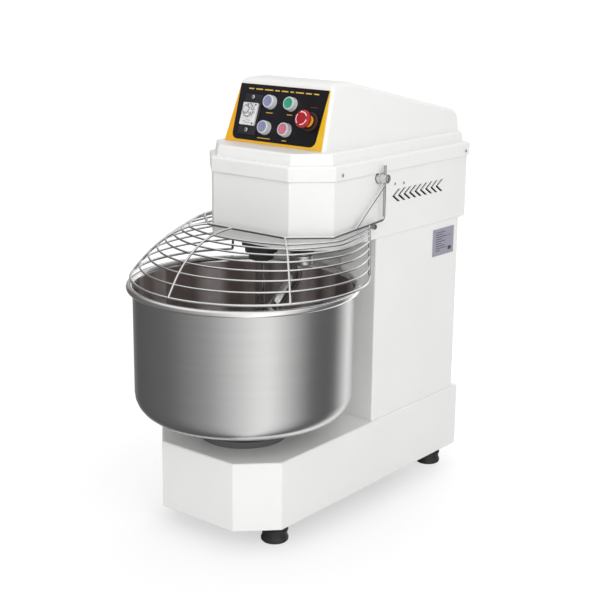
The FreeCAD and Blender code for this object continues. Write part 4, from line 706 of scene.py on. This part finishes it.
def make_emergency_stop():
    u, v, _ = on_panel("stop_mushroom")
    base = [(6, 0.6), (20.8, 0.6, 0.5), (20.8, 5.0, 1.0), (17.2, 8.9, 1.5), (6, 8.9)]
    piece("stop_base_ring", lathe("stop_base_ring", base, panel_at(u, v), 72), "root", "black_plastic",
          INK["stop_base"], ["stop_base"])
    collar = [(5.2, 9.0), (12.7, 9.0, 0.5), (12.7, 12.6, 0.6), (11.4, 13.4, 0.5), (5.2, 13.4)]
    piece("stop_collar_ring", lathe("stop_collar_ring", collar, panel_at(u, v), 64), "root", "stop_yellow",
          replaces=["stop_collar"])
    head = [(0, 18.4), (10.8, 18.4, 1), (12.2, 22.6, 2), (18.2, 24.2, 1), (18.9, 26.2, 1.2), (18.9, 30.8, 2.2),
            (17.2, 33.8, 2.6), (12, 35.3, 8), (0, 35.8)]
    piece("stop_mushroom_cap", lathe("stop_mushroom_cap", head, panel_at(u, v), 96), "stop_head", "stop_red",
          replaces=["stop_mushroom"])
    arrows = []
    for turn in range(3):
        start = 25 + 120 * turn
        ring = arc((0, 0), 14.4, start, start + 72, 16)
        inner = arc((0, 0), 12.2, start + 72, start, 16)
        tip = [arc((0, 0), 15.9, start + 72, start + 72, 1)[0], arc((0, 0), 13.3, start + 92, start + 92, 1)[0],
               arc((0, 0), 10.7, start + 72, start + 72, 1)[0]]
        arrows.append(plate("arrow", ring + tip + inner, 1.1, panel_at(u, v, 34.05)))
    piece("stop_turn_arrows", joined("stop_turn_arrows", arrows), "stop_head", "stop_red", INK["white"])


def make_timer():
    u, v, _ = on_panel("timer_body")
    knob_u, knob_v, _ = on_panel("timer_knob")
    frame_plate = rectangle(50, 88, (u, v), 2)
    windows = [rectangle(40, 48, (u, v), 1)]
    piece("timer_holder_frame", plate("timer_holder_frame", frame_plate, 2.2, panel_at(0, 0, 0.6), windows, 0.5),
          "root", "black_plastic", replaces=["timer_holder"])
    face = plate("timer_face_plate", rectangle(41, 49, (u, v), 1.5), 6.2, panel_at(0, 0, 3.0), bevel=0.9)
    piece("timer_face_plate", face, "root", "timer_face", replaces=["timer_body"])
    top = 9.25
    ticks = []
    for step in range(11):
        angle = math.radians(225 - 27 * step)
        inner, outer = 16.6, 19.0 if step % 5 == 0 else 18.2
        mark = Matrix.Rotation(angle, 4, "Z") @ Matrix.Translation(((inner + outer) / 2 * MM, 0, 0))
        ticks.append(plate("tick", rectangle(outer - inner, 0.55), 0.1, panel_at(knob_u, knob_v, top) @ mark))
    face_top = panel_at(0, 0, top)
    for row, (size, shift) in enumerate(((12, 4), (7, -8), (16, 2))):
        line = rectangle(size, 0.9, (u + shift, v - 14.2 - 2.6 * row))
        ticks.append(plate("line", line, 0.1, face_top))
    for side in (1, -1):
        cell = rectangle(4.6, 3.6, (u + 15.4, v + side * 20.6), 0.8)
        ticks.append(plate("cell", cell, 0.14, face_top))
    piece("timer_dial_marks", joined("timer_dial_marks", ticks), "root", "timer_face", INK["dark"])
    skirt = [(3, 9.9), (15.4, 9.9, 0.4), (15.4, 12.6, 0.8), (12.2, 14.6, 1), (10.2, 20.4, 1.4), (3, 20.8)]
    knob = lathe("timer_knob_skirt", skirt, panel_at(knob_u, knob_v), 64)
    piece("timer_knob_skirt", knob, "timer_knob", "knob_clear", replaces=["timer_knob"])
    cap = [(0, 9.9), (2.9, 9.9), (2.9, 20.9), (6.8, 20.9, 0.3), (6.6, 22.3, 0.5), (0, 22.5)]
    pointer = plate("pointer", rectangle(1.4, 9.0, (0, 10.4)), 0.3, panel_at(knob_u, knob_v, 14.6))
    core = joined("timer_knob_core", [lathe("core", cap, panel_at(knob_u, knob_v), 48), pointer])
    piece("timer_knob_core", core, "timer_knob", "timer_face", FINISHES["bezel_grey"])


# ---------------------------------------------------------------- screws, feet and guard hardware

def cross_recess(mesh, size, depth, top):
    """Cuts a cross recess into a screw head that faces +Z."""
    cutter = []
    for turn in (0, math.pi / 2):
        bar = bmesh.new()
        bmesh.ops.create_cube(bar, size=1)
        shape = Matrix.Rotation(turn, 4, "Z") @ Matrix.Diagonal((size * MM, size * 0.24 * MM, depth * 2 * MM, 1))
        bmesh.ops.transform(bar, matrix=Matrix.Translation((0, 0, top * MM)) @ shape, verts=bar.verts)
        made = bpy.data.meshes.new("bar")
        bar.to_mesh(made)
        bar.free()
        cutter.append(made)
    work = bpy.data.objects.new("head", mesh)
    bpy.context.scene.collection.objects.link(work)
    tools = []
    for index, made in enumerate(cutter):
        tool = bpy.data.objects.new(f"tool_{index}", made)
        bpy.context.scene.collection.objects.link(tool)
        modifier = work.modifiers.new("cut", "BOOLEAN")
        modifier.operation = "DIFFERENCE"
        modifier.object = tool
        tools.append(tool)
    bpy.context.view_layer.update()
    done = bpy.data.meshes.new_from_object(work.evaluated_get(bpy.context.evaluated_depsgraph_get()))
    for thing in [work, *tools]:
        bpy.data.objects.remove(thing)
    return done


def make_screws():
    """Pan heads with a cross recess, each over the solid of the same screw in the frame."""
    head_width, head_top = 8.2, 2.1
    head = [(0, -6), (2.0, -6), (2.0, 0), (head_width / 2, 0, 0.2), (4.0, 1.0, 0.8), (2.6, 1.9, 1.5),
            (0, head_top)]
    template = cross_recess(lathe("screw_template", head, Matrix.Identity(4), 40), 4.2, 1.2, head_top)
    meshes = []
    for low, high in islands("screws"):
        size, centre = high - low, (low + high) / 2
        out = panel_normal_at(centre) or face_normal(size, centre)
        wide = sorted(size)[1] / (head_width * MM)
        seat = centre + out * (abs(size.dot(absolute(out))) / 2 - 1.5 * MM * wide)
        turned = Matrix.Rotation(centre.y * 37 + centre.z * 11, 4, "Z")
        copy = template.copy()
        copy.transform(along(seat, out) @ turned @ Matrix.Scale(wide, 4))
        meshes.append(copy)
    piece("pan_head_screws", joined("pan_head_screws", meshes), "root", "zinc_steel", replaces=["screws"])


def absolute(vector):
    return Vector(abs(part) for part in vector)


def panel_normal_at(centre):
    """The panel's normal for a screw that sits on the panel's face, or None."""
    local = PANEL.inverted() @ centre
    return PANEL.to_3x3().col[2] if abs(local.z) < 12 * MM and abs(local.x) < 0.13 and 0 < local.y < 0.13 else None


def face_normal(size, centre):
    """Out of the face that a screw sits in: its thin side is its length axis, away from the middle."""
    spans = [abs(size.y - size.z), abs(size.x - size.z), abs(size.x - size.y)]
    axis = spans.index(min(spans))
    out = Vector((0, 0, 0))
    out[axis] = math.copysign(1, centre[axis])
    return out


def make_feet():
    profile = [(6.5, 8), (6.5, 0.8), (27.0, 0.0, 1.5), (29.6, 3.0, 1.5), (29.9, 8.0, 2), (27.0, 13.5, 6),
               (27.4, 21.5, 4), (29.4, 25.8, 1.5), (28.0, 30.4, 2), (12, 31.2, 0.8), (12, 34.8, 0.8), (6.5, 34.8)]
    pads = []
    for low, high in islands("levelling_feet"):
        pads.append(lathe("pad", profile, upright((low.x + high.x) / 2, (low.y + high.y) / 2, low.z), 72))
    piece("rubber_foot_pads", joined("rubber_foot_pads", pads), "root", "foot_rubber", replaces=["levelling_feet"])


def make_guard_hardware():
    bosses, stops = [], []
    for low, high in islands("guard_pivot_pins"):
        side = math.copysign(1, low.x)
        length = (high.x - low.x) / MM
        start = Vector((low.x if side > 0 else high.x, (low.y + high.y) / 2, (low.z + high.z) / 2))
        boss = [(0, 0), (9.9, 0, 0.5), (9.9, 22.8), (11.8, 23.2, 0.6), (11.8, 31.4, 0.6), (9.9, 32.2, 0.3),
                (9.9, length - 0.2, 1.1), (6.6, length - 0.2, 0.5), (6.1, length - 6, 0.4), (0, length - 6)]
        bosses.append(lathe("boss", boss, along(start, (side, 0, 0)), 64))
    piece("guard_pivot_bosses", joined("guard_pivot_bosses", bosses), "guard", "zinc_steel",
          replaces=["guard_pivot_pins"])
    for low, high in islands("guard_stop_pins"):
        side = math.copysign(1, low.x)
        head = Vector((high.x if side > 0 else low.x, (low.y + high.y) / 2, (low.z + high.z) / 2))
        sleeve = [(0, -30.8), (3.9, -30.8), (3.9, -17), (5.9, -17, 0.4), (5.9, -9.5, 0.8), (4.6, -8.4, 0.5),
                  (4.6, -7.2, 0.5), (5.9, -6.2, 1.2), (5.9, -0.2, 2.0), (2.4, -0.2, 0.4), (2.2, -2.4), (0, -2.4)]
        stops.append(lathe("stop", sleeve, along(head, (side, 0, 0)), 48))
    piece("guard_stop_buffers", joined("guard_stop_buffers", stops), "root", "zinc_steel",
          FINISHES["stop_pin_steel"], ["guard_stop_pins"])


# ---------------------------------------------------------------- rating plate

def make_plate_print():
    """Plain rows and boxes in place of a rating plate's text."""
    low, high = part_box("rating_plate")
    wide, tall = (high.y - low.y) / MM, (high.z - low.z) / MM
    face = Matrix(((0, 0, 1, high.x), (1, 0, 0, low.y), (0, 1, 0, low.z), (0, 0, 0, 1)))
    margin = 13
    rows = []
    for row, share in enumerate((0.62, 0.5, 0.7, 0.44, 0.66, 0.38, 0.58, 0.7, 0.3)):
        size = share * (wide - 2 * margin)
        rows.append(plate("row", rectangle(size, 1.5, (margin + size / 2, tall - 9 - 5.4 * row)), 0.12, face))
    rows.append(plate("rule", rectangle(wide - 22, 0.7, (wide / 2, tall - 20)), 0.12, face))
    rows.append(plate("badge", rectangle(14, 9, (wide - 17, 13), 1.5), 0.12, face))
    piece("rating_plate_rows", joined("rating_plate_rows", rows), "root", "plate_metal", INK["dark"])


# ---------------------------------------------------------------- stage, light and camera

def make_floor():
    """A pale floor that takes the soft shadow near the machine and fades into white further out."""
    floor = bpy.data.meshes.new("floor")
    reach = 30.0
    floor.from_pydata([(-reach, -reach, 0), (reach, -reach, 0), (reach, reach, 0), (-reach, reach, 0)], [],
                      [(0, 1, 2, 3)])
    made = bpy.data.objects.new("floor", floor)
    bpy.context.scene.collection.objects.link(made)
    s = Surface("pale_floor", 0.6)
    away = s.node("ShaderNodeVectorMath", operation="LENGTH")
    s.feed(away.inputs[0], s.place)
    seen = s.node("ShaderNodeLightPath").outputs["Is Camera Ray"]
    fade = s.math("MULTIPLY", s.spread(away.outputs["Value"], 0.55, 1, 0.2, 0.85), seen)
    tone = s.blend(s.noise(0.8, 3), (0.93, 0.93, 0.925), (0.96, 0.96, 0.955))
    s.set("Base Color", s.blend(fade, tone, (0, 0, 0)))
    s.set("Emission Color", (1, 1, 1, 1))
    s.set("Emission Strength", fade)
    floor.materials.append(s.material)
    made.visible_glossy = False


# Brightness of the studio as polished metal sees it, by direction: degrees from the front (-Y) towards +X.
STUDIO_RING = [(-180, 0.8), (-150, 0.45), (-105, 0.07), (-40, 0.11), (5, 0.26), (38, 0.55), (66, 0.78), (92, 0.4),
               (116, 0.1), (150, 0.08), (172, 0.6), (180, 0.78)]
STUDIO_STRENGTH = 1.75
ROOM_LIGHT = 0.63


def make_world():
    """A white room to the camera; to polished metal, a studio with a bright side, a gap and a bright ceiling."""
    world = bpy.data.worlds.new("studio")
    bpy.context.scene.world = world
    world.use_nodes = True
    nodes, links = world.node_tree.nodes, world.node_tree.links
    nodes.clear()

    def add(kind, **settings):
        made = nodes.new(kind)
        for key, value in settings.items():
            setattr(made, key, value)
        return made

    def background(source, strength):
        made = add("ShaderNodeBackground")
        if isinstance(source, bpy.types.NodeSocket):
            links.new(source, made.inputs[0])
        else:
            made.inputs[0].default_value = opaque(source)
        made.inputs[1].default_value = strength
        return made.outputs[0]

    def choose(factor, first, second):
        made = add("ShaderNodeMixShader")
        for socket, source in zip(made.inputs, (factor, first, second)):
            links.new(source, socket)
        return made.outputs[0]

    split = add("ShaderNodeSeparateXYZ")
    links.new(add("ShaderNodeTexCoord").outputs["Generated"], split.inputs[0])
    to_front = add("ShaderNodeMath", operation="MULTIPLY")
    to_front.inputs[1].default_value = -1
    links.new(split.outputs[1], to_front.inputs[0])
    bearing = add("ShaderNodeMath", operation="ARCTAN2")
    links.new(split.outputs[0], bearing.inputs[0])
    links.new(to_front.outputs[0], bearing.inputs[1])
    turn = add("ShaderNodeMapRange")
    turn.inputs["From Min"].default_value = -math.pi
    turn.inputs["From Max"].default_value = math.pi
    links.new(bearing.outputs[0], turn.inputs["Value"])
    ramp = add("ShaderNodeValToRGB")
    links.new(turn.outputs[0], ramp.inputs[0])
    stops = ramp.color_ramp.elements
    ends = STUDIO_RING[0], STUDIO_RING[-1]
    for stop, (azimuth, level) in zip(stops, ends):
        stop.position, stop.color = (azimuth + 180) / 360, (level, level, level, 1)
    for azimuth, level in STUDIO_RING[1:-1]:
        stops.new((azimuth + 180) / 360).color = (level, level, level, 1)
    height = add("ShaderNodeMapRange", interpolation_type="SMOOTHSTEP")
    height.inputs["From Min"].default_value = 0.35
    height.inputs["From Max"].default_value = 0.85
    height.inputs["To Max"].default_value = 0.9
    links.new(split.outputs[2], height.inputs["Value"])
    paths = add("ShaderNodeLightPath")
    studio = choose(height.outputs[0], background(ramp.outputs[0], STUDIO_STRENGTH), background((1, 1, 1), 1.0))
    lit = choose(paths.outputs["Is Glossy Ray"], background((1, 1, 1), ROOM_LIGHT), studio)
    output = add("ShaderNodeOutputWorld")
    links.new(choose(paths.outputs["Is Camera Ray"], lit, background((1, 1, 1), 1.05)), output.inputs[0])


# Name, degrees from the front towards +X, height, distance, size and watts of each lamp round the machine.
LAMPS = [("key", 62, 2.0, 3.0, 2.4, 45), ("fill", -15, 1.6, 3.2, 2.6, 17), ("back", 205, 2.0, 3.2, 2.4, 26)]


def soft_lamp(name, size, power, place):
    lamp = bpy.data.lights.new(name, "AREA")
    lamp.size, lamp.energy = size, power
    made = bpy.data.objects.new(name, lamp)
    made.location = place
    made.visible_glossy = False
    bpy.context.scene.collection.objects.link(made)
    return made


def make_lights():
    target = (CAD_BOX[0] + CAD_BOX[1]) / 2
    for name, azimuth, height, distance, size, power in LAMPS:
        turn = math.radians(azimuth)
        place = target + Vector((math.sin(turn) * distance, -math.cos(turn) * distance, height - target.z))
        made = soft_lamp(name, size, power, place)
        made.rotation_mode = "QUATERNION"
        made.rotation_quaternion = (target - made.location).to_track_quat("-Z", "Y")
    soft_lamp("top", 2.4, 9, target + Vector((0, 0, 2.4)))


CAMERA_TURN, CAMERA_PITCH, CAMERA_ROLL = 38.95, 14.99, 0.66
CAMERA_PLACE = (1.75793, -2.16122, 1.21051)
CAMERA_LENS, CAMERA_SENSOR = 76.85, 36


def make_camera():
    azimuth, pitch, roll = (math.radians(angle) for angle in (CAMERA_TURN, CAMERA_PITCH, CAMERA_ROLL))
    back = Vector((math.sin(azimuth) * math.cos(pitch), -math.cos(azimuth) * math.cos(pitch), math.sin(pitch)))
    right = Vector((math.cos(azimuth), math.sin(azimuth), 0))
    up = back.cross(right)
    level_right = right * math.cos(roll) + up * math.sin(roll)
    level_up = up * math.cos(roll) - right * math.sin(roll)
    camera = bpy.data.cameras.new("camera")
    camera.lens, camera.sensor_width = CAMERA_LENS, CAMERA_SENSOR
    made = bpy.data.objects.new("camera", camera)
    facing = Matrix((level_right, level_up, back)).transposed().to_4x4()
    made.matrix_world = Matrix.Translation(CAMERA_PLACE) @ facing
    bpy.context.scene.collection.objects.link(made)
    bpy.context.scene.camera = made


finish_cad_nodes()
make_bowl()
make_panel_print()
make_buttons()
make_emergency_stop()
make_timer()
make_screws()
make_feet()
make_guard_hardware()
make_plate_print()
make_floor()
make_world()
make_lights()
make_camera()
bpy.context.scene.view_settings.view_transform = "Standard"
